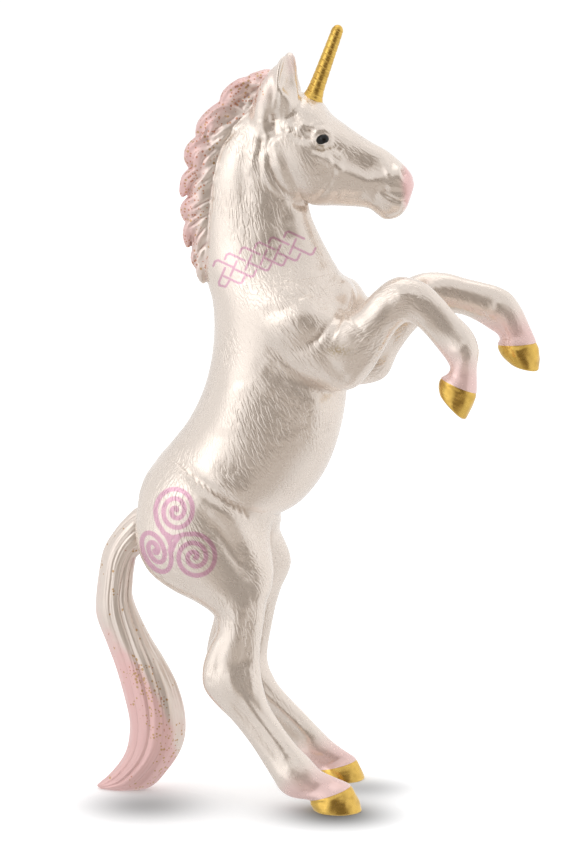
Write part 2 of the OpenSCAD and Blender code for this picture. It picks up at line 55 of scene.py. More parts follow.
def placeCamera(look):
    # The camera looks at its target from its reach, turned to the right and tilted down.
    turn, tilt = radians(look["turn"]), radians(look["tilt"])
    back = Vector((sin(turn) * cos(tilt), -cos(turn) * cos(tilt), sin(tilt)))
    right = Vector((cos(turn), sin(turn), 0))
    up = back.cross(right)
    eye = Vector(look["target"]) + back * look["reach"]
    lens = bpy.data.cameras.new("camera")
    lens.lens, lens.sensor_width, lens.sensor_fit = look["lens"], look["sensor"], "AUTO"
    lens.clip_start, lens.clip_end = 0.01, 20
    lens.dof.use_dof = False
    camera = added("camera", lens)
    camera.matrix_world = Matrix.Translation(eye * mm) @ Matrix((right, up, back)).transposed().to_4x4()
    bpy.context.scene.camera = camera
    return [np.array(v) for v in (eye, right, up, back)]


eyeAt, viewRight, viewUp, viewBack = placeCamera(shot)


def fromPhoto(spots, y):
    # Where a ray through each photograph pixel meets the upright plane at this Y, in mm.
    spots = np.atleast_2d(np.asarray(spots, float))
    across, up = spots[:, :1] - photoWide / 2, photoTall / 2 - spots[:, 1:2]
    ray = (viewRight * across + viewUp * up) / focal - viewBack
    return (eyeAt + ray * ((y - eyeAt[1]) / ray[:, 1])[:, None])[:, [0, 2]]


def toPhoto(points):
    # Photograph pixel of each point in mm: its place across and up the view over its depth. The
    # figure's far side is folded onto the near one, so that both sides share each mark.
    away = points * [1, 0, 1] - [0, 1, 0] * np.abs(points) - eyeAt
    zoom = focal / -(away @ viewBack)
    return np.stack([photoWide / 2 + away @ viewRight * zoom, photoTall / 2 - away @ viewUp * zoom], axis=1)


# shared tools, all on whole numpy arrays
def lengthOf(v):
    # Root of the sum of squares, vector by vector.
    return np.linalg.norm(v, axis=-1)


def unit(v):
    # Each vector over its length.
    return v / np.maximum(lengthOf(v), 1e-9)[..., None]


def dots(one, other):
    # Sum of products, row by row.
    return np.einsum("ij,ij->i", one, other)


def bell(x):
    # One at nought, falling as e to the minus square.
    return np.exp(-x ** 2)


def ease(x, low=0.0, high=1.0):
    # Nought below low, one above high, 3tt - 2ttt between.
    t = np.clip((x - low) / (high - low), 0, 1)
    return t * t * (3 - 2 * t)


def turns(around):
    # Even angles round a circle, as a row.
    return np.linspace(0, 2 * pi, around, endpoint=False)[None, :]


def shares(steps):
    # Even steps from nought to one, as a column.
    return np.linspace(0, 1, steps)[:, None]


def upright(flat, across):
    # Points in space from places in the side view and places across.
    return np.stack([flat[..., 0], across, flat[..., 1]], axis=-1)


def catmull(rings, u):
    # Smooth row at share u of the list: a Catmull-Rom cubic through the four rows round it.
    rings = np.asarray(rings, float)
    last = len(rings) - 1
    place = np.clip(np.asarray(u, float).ravel() * last, 0, last - 1e-9)
    i = np.floor(place).astype(int)
    t = (place - i)[:, None]
    a, b, c, d = (rings[np.clip(i + k, 0, last)] for k in (-1, 0, 1, 2))
    curve = (2 * a - 5 * b + 4 * c - d) * t ** 2 + (3 * b - a - 3 * c + d) * t ** 3
    return 0.5 * (2 * b + (c - a) * t + curve)


def ringSkin(rings, steps, around, side=1):
    # Grid of points: middle of the row + its half line times cos a, and across, its place
    # plus half width times sin a.
    rows, a = catmull(rings, shares(steps)), turns(around)
    rear, front = rows[:, None, 0:2], rows[:, None, 2:4]
    across = rows[:, 4:5] * np.sin(a)
    if rows.shape[1] > 5:
        across = across + rows[:, 5:6]
    return upright((rear + front) / 2 + (front - rear) / 2 * np.cos(a)[..., None], side * across)


def makeMesh(name, points, faces, scale=1.0):
    # The faces are turned round where the sum of their corner volumes says that they point in.
    points = np.asarray(points, float).reshape(-1, 3)
    volume = 0.0
    for size in set(len(f) for f in faces):
        f = np.array([f for f in faces if len(f) == size])
        for k in range(1, size - 1):
            volume += dots(points[f[:, 0]], np.cross(points[f[:, k]], points[f[:, k + 1]])).sum()
    if volume < 0:
        faces = [list(f)[::-1] for f in faces]
    mesh = bpy.data.meshes.new(name)
    mesh.from_pydata((points * scale).tolist(), [], faces)
    mesh.update()
    return added(name, mesh)


def tube(name, grid, scale=1.0):
    # Quads of a grid that closes round, with one many-sided face at each end.
    steps, around = grid.shape[:2]
    i, j = np.meshgrid(np.arange(steps - 1), np.arange(around), indexing="ij")
    k = (j + 1) % around
    quads = np.stack([i * around + j, i * around + k, (i + 1) * around + k, (i + 1) * around + j], axis=-1)
    ends = [list(range(around))[::-1], list(range((steps - 1) * around, steps * around))]
    return makeMesh(name, grid, quads.reshape(-1, 4).tolist() + ends, scale)


def ball(name, middle, radius, steps=40, around=64, scale=mm):
    # Round bead: each radius times the sine and cosine of two angles.
    t, a = shares(steps) * pi, turns(around)
    size = np.broadcast_to(np.asarray(radius, float), (3,))
    thick = np.maximum(np.sin(t), 1e-3)
    grid = np.stack([thick * np.cos(a), np.cos(t) + 0 * a, thick * np.sin(a)], axis=-1)
    return tube(name, grid * size + np.asarray(middle), scale)


def slab(name, ends):
    # Closed solid between two outlines of as many points.
    n = len(ends[0])
    sides = [[i, (i + 1) % n, n + (i + 1) % n, n + i] for i in range(n)]
    return makeMesh(name, ends, sides + [list(range(n))[::-1], list(range(n, 2 * n))])


def prism(name, outline, low, high, along="y"):
    # The outline in the plane square to its axis, from low to high.
    outline = np.asarray(outline, float)
    levels = [np.full(len(outline), level) for level in (low, high)]
    if along == "y":
        return slab(name, [upright(outline, level) for level in levels])
    return slab(name, [np.column_stack([outline, level]) for level in levels])


def applied(piece):
    # Bakes the piece's modifiers into its mesh.
    old = piece.data
    baked = bpy.data.meshes.new_from_object(piece.evaluated_get(bpy.context.evaluated_depsgraph_get()))
    piece.modifiers.clear()
    piece.data = baked
    bpy.data.meshes.remove(old)
    return piece


def fused(name, pieces, cell):
    # Joins closed shells and makes one even skin of quads round all of them.
    bpy.ops.object.select_all(action="DESELECT")
    for piece in pieces:
        piece.select_set(True)
    whole = bpy.context.view_layer.objects.active = pieces[0]
    bpy.ops.object.join()
    named(whole, name)
    fuse = whole.modifiers.new("fuse", "REMESH")
    fuse.mode, fuse.voxel_size, fuse.adaptivity = "VOXEL", cell, 0
    return applied(whole)


def cut(piece, cutter, how):
    # Closed solids less or within one another.
    tool = piece.modifiers.new("cut", "BOOLEAN")
    tool.operation, tool.object, tool.solver = how, cutter, "MANIFOLD"
    return applied(piece)


def named(piece, name):
    piece.name = piece.data.name = name
    return piece


def copyOf(piece, name):
    other = added(name, piece.data.copy())
    other.data.name = name
    return other


def drop(*pieces):
    for piece in pieces:
        bpy.data.objects.remove(piece)


class Skin:
    # The points of a mesh with what sculpting needs: neighbours, outward normals, spread values.

    def __init__(self, piece):
        self.mesh = piece.data
        self.points = self.read(self.mesh.vertices, "co", 3, float)
        edges = self.read(self.mesh.edges, "vertices", 2, np.int32)
        self.a, self.b = np.concatenate([edges, edges[:, ::-1]]).T
        self.around = np.maximum(np.bincount(self.a, minlength=len(self.points)), 1)

    def read(self, items, key, wide, kind):
        out = np.empty(len(items) * wide, kind)
        items.foreach_get(key, out)
        return out.reshape(-1, wide)

    def normals(self):
        self.store()
        return self.read(self.mesh.vertices, "normal", 3, np.float32).astype(float)

    def mean(self, values):
        # Mean of a value or vector over each point's neighbours.
        values = np.asarray(values, float)
        if values.ndim == 1:
            return np.bincount(self.a, values[self.b], len(self.points)) / self.around
        return np.stack([self.mean(values[:, k]) for k in range(values.shape[1])], axis=1)

    def smooth(self, times, share=0.6, weight=1.0):
        # Each point moves a share of the way to the mean of its neighbours.
        for _ in range(times):
            self.points += (self.mean(self.points) - self.points) * share * np.reshape(weight, (-1, 1))

    def keepSize(self, times, share=0.5, back=-0.52):
        # Smoothing that keeps the volume: one step in, one slightly longer step out.
        for _ in range(times):
            self.smooth(1, share)
            self.smooth(1, back)

    def push(self, height):
        self.points += self.normals() * np.asarray(height)[:, None]

    def store(self, scale=1.0):
        self.mesh.vertices.foreach_set("co", (self.points * scale).astype(np.float32).ravel())
        self.mesh.update()


def nearPath(points, path, signed=False):
    # Distance of each flat point from a broken line, below nought on its left where that is
    # asked for, and the share of the line passed there.
    path = np.reshape(path, (-1, 2)).astype(float)
    best, passed, side = np.full(len(points), 1e9), np.zeros(len(points)), 1.0
    for k, (a, b) in enumerate(zip(path[:-1], path[1:])):
        run = b - a
        share = np.clip(((points - a) @ run) / max(run @ run, 1e-9), 0, 1)
        away = points - a - share[:, None] * run
        far = lengthOf(away)
        passed = np.where(far < best, (k + share) / (len(path) - 1), passed)
        if signed:
            side = np.where(far < best, np.sign(run[1] * away[:, 0] - run[0] * away[:, 1]), side)
        best = np.minimum(best, far)
    return best * side, passed


def strokes(flat, path, radius, tall):
    # Height of one sculpting stroke: a bell of the distance from the line over the radius,
    # fading towards both ends of the line.
    far, passed = nearPath(flat, path)
    return tall * bell(far / radius) * (0.45 + 0.55 * ease(np.minimum(passed, 1 - passed), 0, 0.22))


def lumps(points, seed, length, waves=24):
    # Seeded smooth noise in space: random waves of one mean length, added up.
    rng = np.random.default_rng(seed)
    ways = unit(rng.normal(size=(waves, 3))) * (2 * pi / (length * rng.uniform(0.7, 1.4, waves)))[:, None]
    phases = rng.uniform(0, 2 * pi, waves)
    return sum(np.sin(points @ way + phase) for way, phase in zip(ways, phases)) / np.sqrt(waves / 2)


# Rings of each casting in mm: rear x, rear z, front x, front z, half width, and for a limb
# the place of its middle across.
rings = dict(
    body=[(-20.55, 32, -17.35, 32.2, 1.98), (-22.95, 33.2, -14.95, 33.2, 4.5),
        (-24.95, 35.4, -13.15, 35, 7.65), (-26.47, 38.48, -11.15, 37.6, 9), (-26.75, 43, -8.95, 40.6, 9.09),
        (-26.19, 47.6, -6.15, 43.32, 9.09), (-24.15, 51.68, -2.35, 45.6, 9.09),
        (-21.51, 54.88, 0.73, 49.12, 8.91), (-19.11, 58.08, 2.85, 53.4, 8.82),
        (-16.95, 62.4, 4.37, 59, 8.73), (-15.67, 67, 5.05, 65, 8.55), (-15.15, 71.8, 5.57, 70.52, 8.28),
        (-15.35, 76, 5.37, 76.32, 7.65), (-16.07, 78.8, 3.57, 81, 6.66)],
    neck=[(-16.85, 82, 2.55, 82.8, 6), (-16.75, 85.5, 0.95, 85.8, 5.3), (-16.55, 89, -0.35, 88.6, 4.85),
        (-16.25, 92.6, -0.85, 90.2, 4.6), (-15.75, 96.4, -1.05, 90.9, 4.5),
        (-14.35, 100.2, -1.25, 91.3, 4.5), (-12.25, 103.5, -1.35, 91.6, 4.5),
        (-9.75, 105.9, -1.35, 91.7, 4.5)],
    head=[(-7.35, 107.3, -1.25, 91.6, 4.5), (-5.15, 108, -0.85, 91.2, 4.6), (-3.15, 108, -0.15, 90.9, 4.7),
        (-0.95, 107.3, 1.15, 90.8, 4.7), (1.05, 106.2, 3.05, 90.8, 4.6), (2.45, 104.4, 5.05, 90.7, 4.3),
        (4.55, 102.8, 6.85, 90.6, 3.8), (6.45, 101.5, 8.25, 90.3, 3.4), (8.55, 100.2, 9.35, 89.5, 3.1),
        (10.45, 99.2, 10.45, 88.8, 2.95), (12.05, 98, 11.75, 88.9, 2.9), (13.45, 96.7, 12.95, 89.5, 2.8),
        (14.45, 95.4, 13.75, 90.6, 2.35), (14.85, 94, 14.25, 91.9, 1.5)],
    mane=[(-6.85, 109.3, -6.75, 107.6, 1.2), (-8.95, 110.2, -8.15, 106.6, 2.1),
        (-11.55, 109, -10.05, 104.7, 2.55), (-13.35, 106.9, -11.55, 103.2, 2.55),
        (-15.45, 105, -12.75, 101.3, 2.85), (-16.85, 102.6, -13.85, 99, 2.7),
        (-18.55, 100.4, -14.55, 97, 3), (-19.55, 98, -14.75, 95.2, 3), (-19.25, 95.8, -15.05, 93.3, 2.76),
        (-20.75, 93.2, -15.45, 91, 3), (-20.15, 90.9, -15.51, 88.8, 2.85),
        (-20.35, 88.4, -15.51, 86.6, 2.85), (-19.55, 86.2, -15.55, 84.6, 2.55),
        (-19.95, 83.6, -15.65, 82.5, 2.4), (-18.75, 81, -15.95, 80.6, 1.8),
        (-17.15, 79.2, -16.15, 79.3, 1.05)],
    rightFore=[(-8.95, 71.25, -4.95, 77.25, 3.84, 3.99), (-7.32, 67.75, -0.2, 77.88, 4.44, 4.48),
        (-2.45, 64.9, 3.25, 76.2, 4.51, 4.83), (2.85, 63.7, 5.05, 75.6, 3.89, 5.6),
        (6.45, 64.3, 6.65, 76.4, 3.31, 6.3), (8.95, 66.9, 8.15, 77.8, 2.9, 6.79),
        (10.65, 69.8, 9.65, 79.1, 2.59, 7), (12.25, 72.6, 11.25, 80.4, 2.4, 7),
        (13.95, 74.3, 13.05, 81.1, 2.45, 7), (15.45, 74, 15.25, 80.8, 2.3, 7),
        (16.75, 72.9, 17.45, 79.8, 2.11, 7), (17.95, 71.5, 19.45, 77.9, 1.8, 7),
        (19.25, 69.9, 21.55, 75.5, 1.75, 7), (20.35, 68.4, 23.75, 73.2, 2.11, 7),
        (20.65, 67.4, 24.85, 70.6, 2.21, 7), (20.15, 66.6, 24.65, 67.4, 2.11, 7),
        (19.35, 66.1, 24.65, 63.9, 2.5, 7)],
    rightForeHoof=[(18.95, 64.6, 24.05, 61.8, 2.64, 7), (19.25, 63.4, 22.85, 59.8, 2.5, 7)],
    leftFore=[(-8.95, 71.25, -4.95, 77.25, 3.84, 3.99), (-7.32, 67.75, 1.05, 79.12, 4.44, 4.48),
        (-2.45, 64.6, 4.93, 79.5, 4.51, 4.83), (2.85, 63, 6.8, 77.88, 3.96, 5.6),
        (7.05, 62.8, 7.65, 76, 3.41, 6.3), (10.35, 64, 9.05, 76.2, 2.93, 6.79),
        (12.15, 67.6, 10.85, 77.3, 2.59, 7), (14.05, 70.4, 12.95, 78.7, 2.4, 7),
        (16.15, 72.6, 15.25, 79.7, 2.45, 7), (17.75, 73.5, 17.45, 80, 2.4, 7),
        (19.75, 73.9, 19.85, 79.8, 2.16, 7), (22.15, 73.5, 22.45, 79.1, 1.92, 7),
        (24.35, 72.5, 25.05, 78.5, 1.82, 7), (25.95, 71.5, 27.25, 77.9, 1.87, 7),
        (27.05, 70.8, 29.25, 76.8, 2.11, 7), (27.55, 70.1, 30.85, 74.6, 2.21, 7),
        (27.45, 69.6, 32.05, 72, 2.11, 7), (27.25, 69.1, 33.15, 69.5, 2.54, 7)],
    leftForeHoof=[(27.85, 67.5, 33.65, 67.3, 2.76, 7), (29.35, 66, 33.55, 65.1, 2.59, 7)],
    rightHind=[(-22.55, 53.52, -5.15, 43.6, 9.21, 0), (-25.75, 49.28, -6.23, 42, 8.55, 0.9),
        (-26.95, 44.2, -6.55, 40.2, 7.52, 1.98), (-26.75, 39.48, -6.23, 38.4, 6.44, 3.06),
        (-24.95, 35.6, -5.95, 36.8, 5.31, 4.05), (-21.55, 33, -5.83, 35.28, 4.37, 4.86),
        (-17.35, 31, -6.03, 33.4, 3.76, 5.49), (-14.75, 29.2, -6.75, 31.28, 3.33, 6.03),
        (-14.35, 27, -7.15, 28.4, 2.81, 6.57), (-15.27, 24.8, -7.55, 25.4, 2.51, 6.93),
        (-16.15, 22.2, -7.75, 22.48, 2.3, 7.11), (-16.35, 19.8, -7.55, 20.6, 2.39, 7.2),
        (-15.87, 17.68, -7.23, 18.8, 2.39, 7.2), (-14.23, 15.6, -6.83, 17.2, 2.18, 7.29),
        (-11.75, 13.2, -6.15, 15.4, 1.91, 7.47), (-9.03, 9.88, -4.43, 12.8, 1.75, 7.92),
        (-6.83, 6.6, -2.15, 9.88, 1.84, 8.37), (-5.43, 4.48, -0.03, 7.8, 2.3, 8.64),
        (-4.35, 2.88, 1.77, 6, 2.18, 8.82), (-2.63, 1.88, 3.97, 5, 2.07, 8.91),
        (-0.15, 1.64, 6.25, 3.88, 2.64, 9)],
    rightHindHoof=[(0.25, 0.88, 7.37, 1.8, 2.99, 9), (0.65, 0, 8.05, 0, 3.17, 9)],
    leftHind=[(-22.55, 53.52, -5.15, 43.6, 9.21, 0), (-25.75, 49.28, -5.15, 42.6, 8.55, 0.9),
        (-26.95, 44.2, -5.43, 40.92, 7.52, 1.98), (-26.75, 39.48, -4.83, 39, 6.44, 3.06),
        (-24.95, 35.6, -4.23, 37.2, 5.31, 4.05), (-21.55, 33, -3.99, 35.2, 4.37, 4.86),
        (-17.75, 30.8, -4.55, 33.2, 3.76, 5.49), (-15.87, 28.6, -5.55, 31, 3.33, 6.03),
        (-16.07, 26, -6.43, 28.2, 2.81, 6.57), (-16.75, 23.4, -7.15, 24.8, 2.51, 6.93),
        (-17.27, 20.8, -7.75, 21.4, 2.3, 7.11), (-17.27, 18.2, -7.83, 19.2, 2.39, 7.2),
        (-16.27, 15.8, -7.35, 17.4, 2.39, 7.2), (-12.95, 13, -6.23, 15.28, 2.18, 7.29),
        (-9.55, 11, -4.55, 13.2, 1.91, 7.47), (-6.83, 7.88, -2.15, 10.6, 1.75, 7.92),
        (-4.83, 5.4, -0.03, 8.2, 1.84, 8.37), (-3.63, 3.4, 1.85, 6.2, 2.3, 8.64),
        (-2.55, 2.2, 3.57, 4.8, 2.18, 8.82), (-1.55, 1.6, 4.97, 3.88, 2.07, 8.91),
        (-0.55, 1.48, 5.85, 3.08, 2.64, 9)],
    leftHindHoof=[(-0.15, 0.8, 6.65, 1.48, 2.99, 9), (0.17, 0, 7.25, 0, 3.17, 9)],
    tail=[(-26.35, 44.61, -26.35, 37.39, 2.6), (-27.87, 43.66, -27.07, 36.9, 2.8),
        (-30.45, 40.8, -27.45, 36.29, 2.88), (-32.15, 37.88, -27.85, 34.4, 3),
        (-32.95, 34.19, -28.05, 32.59, 3.08), (-33.45, 29.81, -28.05, 30.59, 3.2),
        (-33.25, 27.02, -27.15, 28, 3.32), (-31.85, 23.21, -25.35, 24.31, 3.6),
        (-30.45, 19.19, -23.24, 20.91, 3.88), (-29.25, 14.8, -21.24, 17.1, 4),
        (-28.55, 11.32, -20.04, 13.12, 4), (-28.55, 8.61, -19.84, 9.31, 3.8),
        (-29.05, 6.19, -20.64, 6.4, 3.4), (-30.15, 4.1, -22.55, 3.4, 2.8), (-31.85, 2.09, -25.35, 0.49, 2),
        (-33.25, 0.9, -29.25, -0.25, 1.32), (-33.65, 0.49, -32.65, -0.16, 0.48)],
)

# legs: casting, hoof, ring table, side
legs = [("right_foreleg", "right_fore_hoof", "rightFore", -1),
        ("left_foreleg", "left_fore_hoof", "leftFore", 1),
        ("right_hind_leg", "right_hind_hoof", "rightHind", -1),
        ("left_hind_leg", "left_hind_hoof", "leftHind", 1)]

# Coat: which way the hair lies, as spots of the photograph with the way the hair runs there in
# degrees from +X, and the soft tufts that are pressed into the mesh.
coat = dict(
    lie=[(250, 300, -50), (232, 330, -60), (290, 350, -50), (325, 350, -62), (225, 400, -80),
         (255, 420, -62), (300, 400, -58), (300, 450, -62), (320, 410, -66), (215, 440, -85),
         (260, 490, -50), (160, 470, -120), (200, 490, -50), (165, 520, -95), (220, 540, -40),
         (250, 560, -35), (180, 590, -35), (235, 600, -70), (230, 640, -88), (300, 250, -58),
         (250, 240, -80), (225, 200, -90), (280, 130, -75), (300, 165, -72), (285, 180, -60),
         (330, 190, -20), (350, 160, -28), (380, 170, -35), (320, 120, -40), (345, 345, 20), (365, 310, 38),
         (395, 290, 10), (430, 310, -48), (460, 350, -60), (270, 700, -52), (300, 750, -45)],
    plane=-7.0, stray=0.16, spread=3.2, reach=1.9, width=(0.16, 0.27), depth=(0.003, 0.008), bend=0.1,
    perSquare=1.7)


def hairFlow(points):
    # Cosine and sine of twice the hair's angle at each point: the marked ones, each weighed by a
    # bell of its distance. Twice, so that a hair read from either end counts the same.
    spots = np.array(coat["lie"], float)
    flow = np.full((len(points), 2), [-1e-5, 0])
    for (x, z), angle in zip(fromPhoto(spots[:, :2], coat["plane"]), np.radians(spots[:, 2]) * 2):
        near = np.exp(-((points[:, 0] - x) ** 2 + (points[:, 2] - z) ** 2) / (2 * coat["spread"] ** 2))
        flow += near[:, None] * [cos(angle), sin(angle)]
    return unit(flow)


def hairs(points, normals, length, count, seed, mask):
    # Height of many soft grooves. Each is a bell-shaped groove with a low ridge beside it, as
    # long as its tuft, tapered to both ends and slightly bent; the points under it are found
    # through cells as wide as the longest reach.
    rng = np.random.default_rng(seed)
    root = rng.integers(0, len(points), count)
    root = root[rng.random(count) < mask[root]]
    many = len(root)
    twice = hairFlow(points[root])
    lie = np.arctan2(twice[:, 1], twice[:, 0]) / 2 + rng.normal(0, coat["stray"], many)
    along = np.stack([np.cos(lie), 0 * lie, np.sin(lie)], axis=1)
    along = unit(along - normals[root] * dots(along, normals[root])[:, None])
    over = np.cross(normals[root], along)
    half = rng.uniform(*length, many) / 2
    wide, depth = (rng.uniform(*coat[key], many) for key in ("width", "depth"))
    bend = rng.normal(0, coat["bend"], many)
    box = np.floor((points - points.min(axis=0)) / coat["reach"]).astype(np.int64) + 1
    size = box.max(axis=0) + 2
    key = (box[:, 0] * size[1] + box[:, 1]) * size[2] + box[:, 2]
    order = np.argsort(key, kind="stable")
    lined = key[order]
    total = np.zeros(len(points))
    for dx, dy, dz in np.ndindex(3, 3, 3):
        wanted = key[root] + ((dx - 1) * size[1] + dy - 1) * size[2] + dz - 1
        first, last = (np.searchsorted(lined, wanted, end) for end in ("left", "right"))
        amount = last - first
        hair = np.repeat(np.arange(many), amount)
        spot = order[np.arange(amount.sum()) - np.repeat(np.cumsum(amount) - amount - first, amount)]
        away = points[spot] - points[root][hair]
        s = dots(away, along[hair]) / half[hair]
        w = (dots(away, over[hair]) - bend[hair] * (s * half[hair]) ** 2) / wide[hair]
        near = (np.abs(s) < 1) & (np.abs(w) < 3)
        s, w, hair, spot = s[near], w[near], hair[near], spot[near]
        groove = depth[hair] * (1 - s * s) ** 2 * (0.7 * bell(w - 1.25) - bell(w))
        total += np.bincount(spot, groove, minlength=len(points))
    return total


# Sculpting marks: radius and height in mm, then a line of photograph pixels, x and y in turn.
headMarks = [
    (0.6, -0.3, 270, 132, 268, 150, 271, 168, 279, 184, 290, 196, 303, 204),
    (0.9, 0.14, 277, 158, 282, 176, 292, 188, 303, 197), (0.6, -0.35, 273, 113, 274, 122),
    (0.5, -0.16, 274, 123, 276, 138), (0.5, -0.3, 262, 136, 260, 148, 256, 160),
    (0.6, 0.2, 258, 146, 254, 158, 249, 172), (0.9, 0.2, 262, 118, 263, 128, 270, 142),
    (1.1, -0.16, 246, 150, 244, 178, 244, 205), (0.6, 0.28, 300, 122, 309, 128, 316, 127),
    (0.6, -0.3, 288, 131, 297, 136, 304, 140), (0.7, -0.2, 292, 114, 298, 122),
    (0.75, -0.34, 311, 127, 309, 134, 311, 142), (0.45, -0.26, 314, 149, 322, 151.5, 332, 148),
    (0.26, 0.1, 313, 136.5, 317, 131.5, 323, 130, 329, 133, 331, 138),
    (0.26, 0.06, 313.5, 142, 320, 146, 328, 145, 331, 140),
    (0.28, -0.1, 310, 130, 316, 126, 325, 125, 333, 129),
    (0.6, 0.3, 317, 154, 328, 161, 337, 167.5, 344, 172),
    (0.8, 0.18, 344, 172, 354, 176, 366, 181, 382, 180),
    (1.4, -0.38, 340, 155, 352, 161, 366, 167, 377, 167), (0.6, -0.2, 336, 147, 342, 152),
    (1.0, 0.2, 334, 131, 350, 141, 366, 148, 384, 158), (1.4, -0.24, 327, 163, 329, 175, 326, 189),
    (0.5, 0.25, 296, 128, 302, 129), (0.5, 0.2, 287, 124, 291, 133),
    (0.8, 0.15, 337, 173, 332, 185, 326, 198, 315, 203), (0.9, -0.18, 340, 195, 352, 196, 367, 197),
    (0.45, 0.14, 383, 159, 386, 168, 389, 177), (0.35, -0.08, 391, 160, 391, 170, 391, 178),
    (0.36, 0.15, 401, 164, 397.5, 170, 399, 178, 403, 183, 409, 185),
    (0.36, -0.5, 402.5, 168, 403.5, 172, 406, 176), (0.5, -0.16, 381, 190, 388, 190, 396, 192, 405, 193),
    (0.45, 0.12, 387, 185, 393, 190), (0.26, -0.18, 383, 193, 390, 197, 398, 201, 406, 202),
    (0.4, 0.1, 384, 199, 392, 203, 400, 206), (0.6, -0.15, 377, 186, 375, 196, 376, 206),
    (0.3, -0.25, 404, 202, 410, 203), (0.6, -0.3, 292, 203, 300, 206, 308, 207),
    (1.6, 0.3, 282, 108, 296, 110, 310, 113), (0.24, 0.07, 283.5, 58, 278.5, 76, 275.5, 96, 273, 110),
    (0.24, 0.06, 284, 72, 281.5, 90, 280, 107),
]
# marks on both sides of the neck seam, cut into both skins
neckMarks = [
    (1.7, 0.22, 266, 190, 262, 215, 268, 245), (1.1, -0.2, 285, 212, 284, 228, 292, 246),
    (0.9, -0.1, 262, 311, 280, 314, 300, 313), (1.0, -0.4, 303, 345, 319, 337, 333, 322, 341, 306),
    (1.4, -0.3, 309, 287, 317, 300, 320, 316),
]
bodyMarks = [
    (1.9, 0.5, 338, 326, 346, 330, 354, 322), (0.5, 0.14, 336, 320, 327, 333, 320, 344),
    (1.2, -0.14, 262, 349, 284, 353, 304, 349), (1.1, -0.16, 321, 350, 332, 366, 350, 388),
    (1.4, -0.32, 262, 366, 280, 376, 307, 386, 334, 388), (2.4, -0.25, 262, 392, 284, 412, 292, 440),
    (3.0, 0.35, 228, 380, 232, 410, 226, 440), (1.6, 0.2, 314, 392, 318, 420, 314, 450),
    (1.6, 0.7, 344, 272, 354, 276, 362, 286),
    (0.95, -0.42, 180, 463, 198, 482, 214, 495, 234, 507, 258, 517),
    (1.7, 0.26, 202, 462, 224, 482, 250, 498), (1.3, 0.26, 204, 500, 226, 516, 246, 538, 262, 568),
    (1.1, -0.34, 208, 518, 222, 536, 234, 556, 248, 574), (0.9, -0.14, 252, 592, 254, 608, 252, 626),
    (2.0, -0.15, 176, 596, 200, 612, 220, 618),
]
# short hair that hangs over the crease of the flank
bodyMarks += [(0.26, -0.13, 186 + 6.4 * k, 471 + 4.3 * k, 190 + 6.4 * k, 482 + 4.1 * k) for k in range(10)]
# Legs: the line is row and share from the middle to the front edge in the leg's own ring table.
hindMarks = [
    (0.9, -0.2, 7.2, 0.35, 8.2, 0.45, 9.5, 0.5, 10.6, 0.45),
    (0.6, -0.16, 8.5, -0.55, 9.6, -0.5, 10.6, -0.45), (0.8, 0.14, 10.4, -0.8, 11.2, -0.9, 12, -0.8),
    (0.7, 0.12, 10.4, 0.0, 11.3, 0.05, 12.2, 0.1), (0.6, 0.14, 10.2, 0.62, 11.4, 0.66, 12.6, 0.6),
    (0.55, 0.22, 12.2, 0.25, 13.6, 0.3, 14.8, 0.35, 16, 0.4),
    (0.8, -0.13, 12.4, -0.25, 14, -0.2, 15.4, -0.12, 16.4, -0.1),
    (0.6, 0.1, 12.6, -0.75, 14, -0.7, 15.6, -0.65), (0.9, 0.1, 17.2, -0.6, 17.6, 0, 17.4, 0.6),
    (0.6, -0.07, 18.9, -0.9, 18.9, 0, 18.9, 0.9),
]
foreMarks = [
    (0.8, -0.18, 3.6, -0.55, 5, -0.5, 6.4, -0.5), (0.7, -0.08, 4.6, 0.6, 5.8, 0.65, 6.8, 0.6),
    (0.8, 0.18, 7.6, 0.3, 8.6, 0.4, 9.2, 0.35), (0.7, -0.07, 9.6, 0.15, 10.4, 0.1, 11.6, 0.1),
    (0.5, 0.1, 9.4, -0.7, 10.6, -0.65, 12, -0.65), (0.7, 0.12, 12.6, -0.5, 13.2, 0, 13.2, 0.6),
    (0.6, -0.05, 15, -0.9, 15.1, 0, 15.2, 0.9),
]


def legLine(table, spots):
    # Middle of each row plus a share of the way from there to its front edge.
    row, share = np.reshape(spots, (-1, 2)).T
    rows = catmull(table, row / (len(table) - 1))
    return (rows[:, 0:2] + rows[:, 2:4]) / 2 + share[:, None] * (rows[:, 2:4] - rows[:, 0:2]) / 2


# The figure's skins: cell sizes, crease smoothing (rounds, depth), the neck's seam, the round
# shoulder (middle, reach behind and in front, tall, high), spots that are smoothed (middle, for
# the ears a stretch, inner and outer reach, rounds), what fills the chest, the poll and the back
# of the ears, and how many rows and points around each loft has.
figure = dict(bodyCell=0.2, headCell=0.165, bodyCrease=(60, 0.045), headCrease=(14, 0.04),
              seam=((-16.07, 78.8), (3.57, 81.0)), dome=((303, 306), (43, 25), 28, 1.6),
              headSoft=[((268, 120), 12, 26, 60)],
              bodySoft=[((342, 297), 18, 34, 110), ((298, 326), 24, 42, 40)],
              ears=((286, 84), (1, 1.9), (17, 24), 16), breast=((335, 297), (3.5, 4.4, 3.5)),
              poll=((267, 100), (2.3, 2.6, 2.2)),
              earBack=[(262, 140), (266, 114), (271, 94), (278, 76), (284, 62)],
              earAcross=(2.2, 2.6, 2.9, 3.2, 3.4), earThick=2.0,
              mesh=dict(head=(150, 96), trunk=(120, 110), leg=(130, 64), dock=(40, 48), crest=(140, 48)))
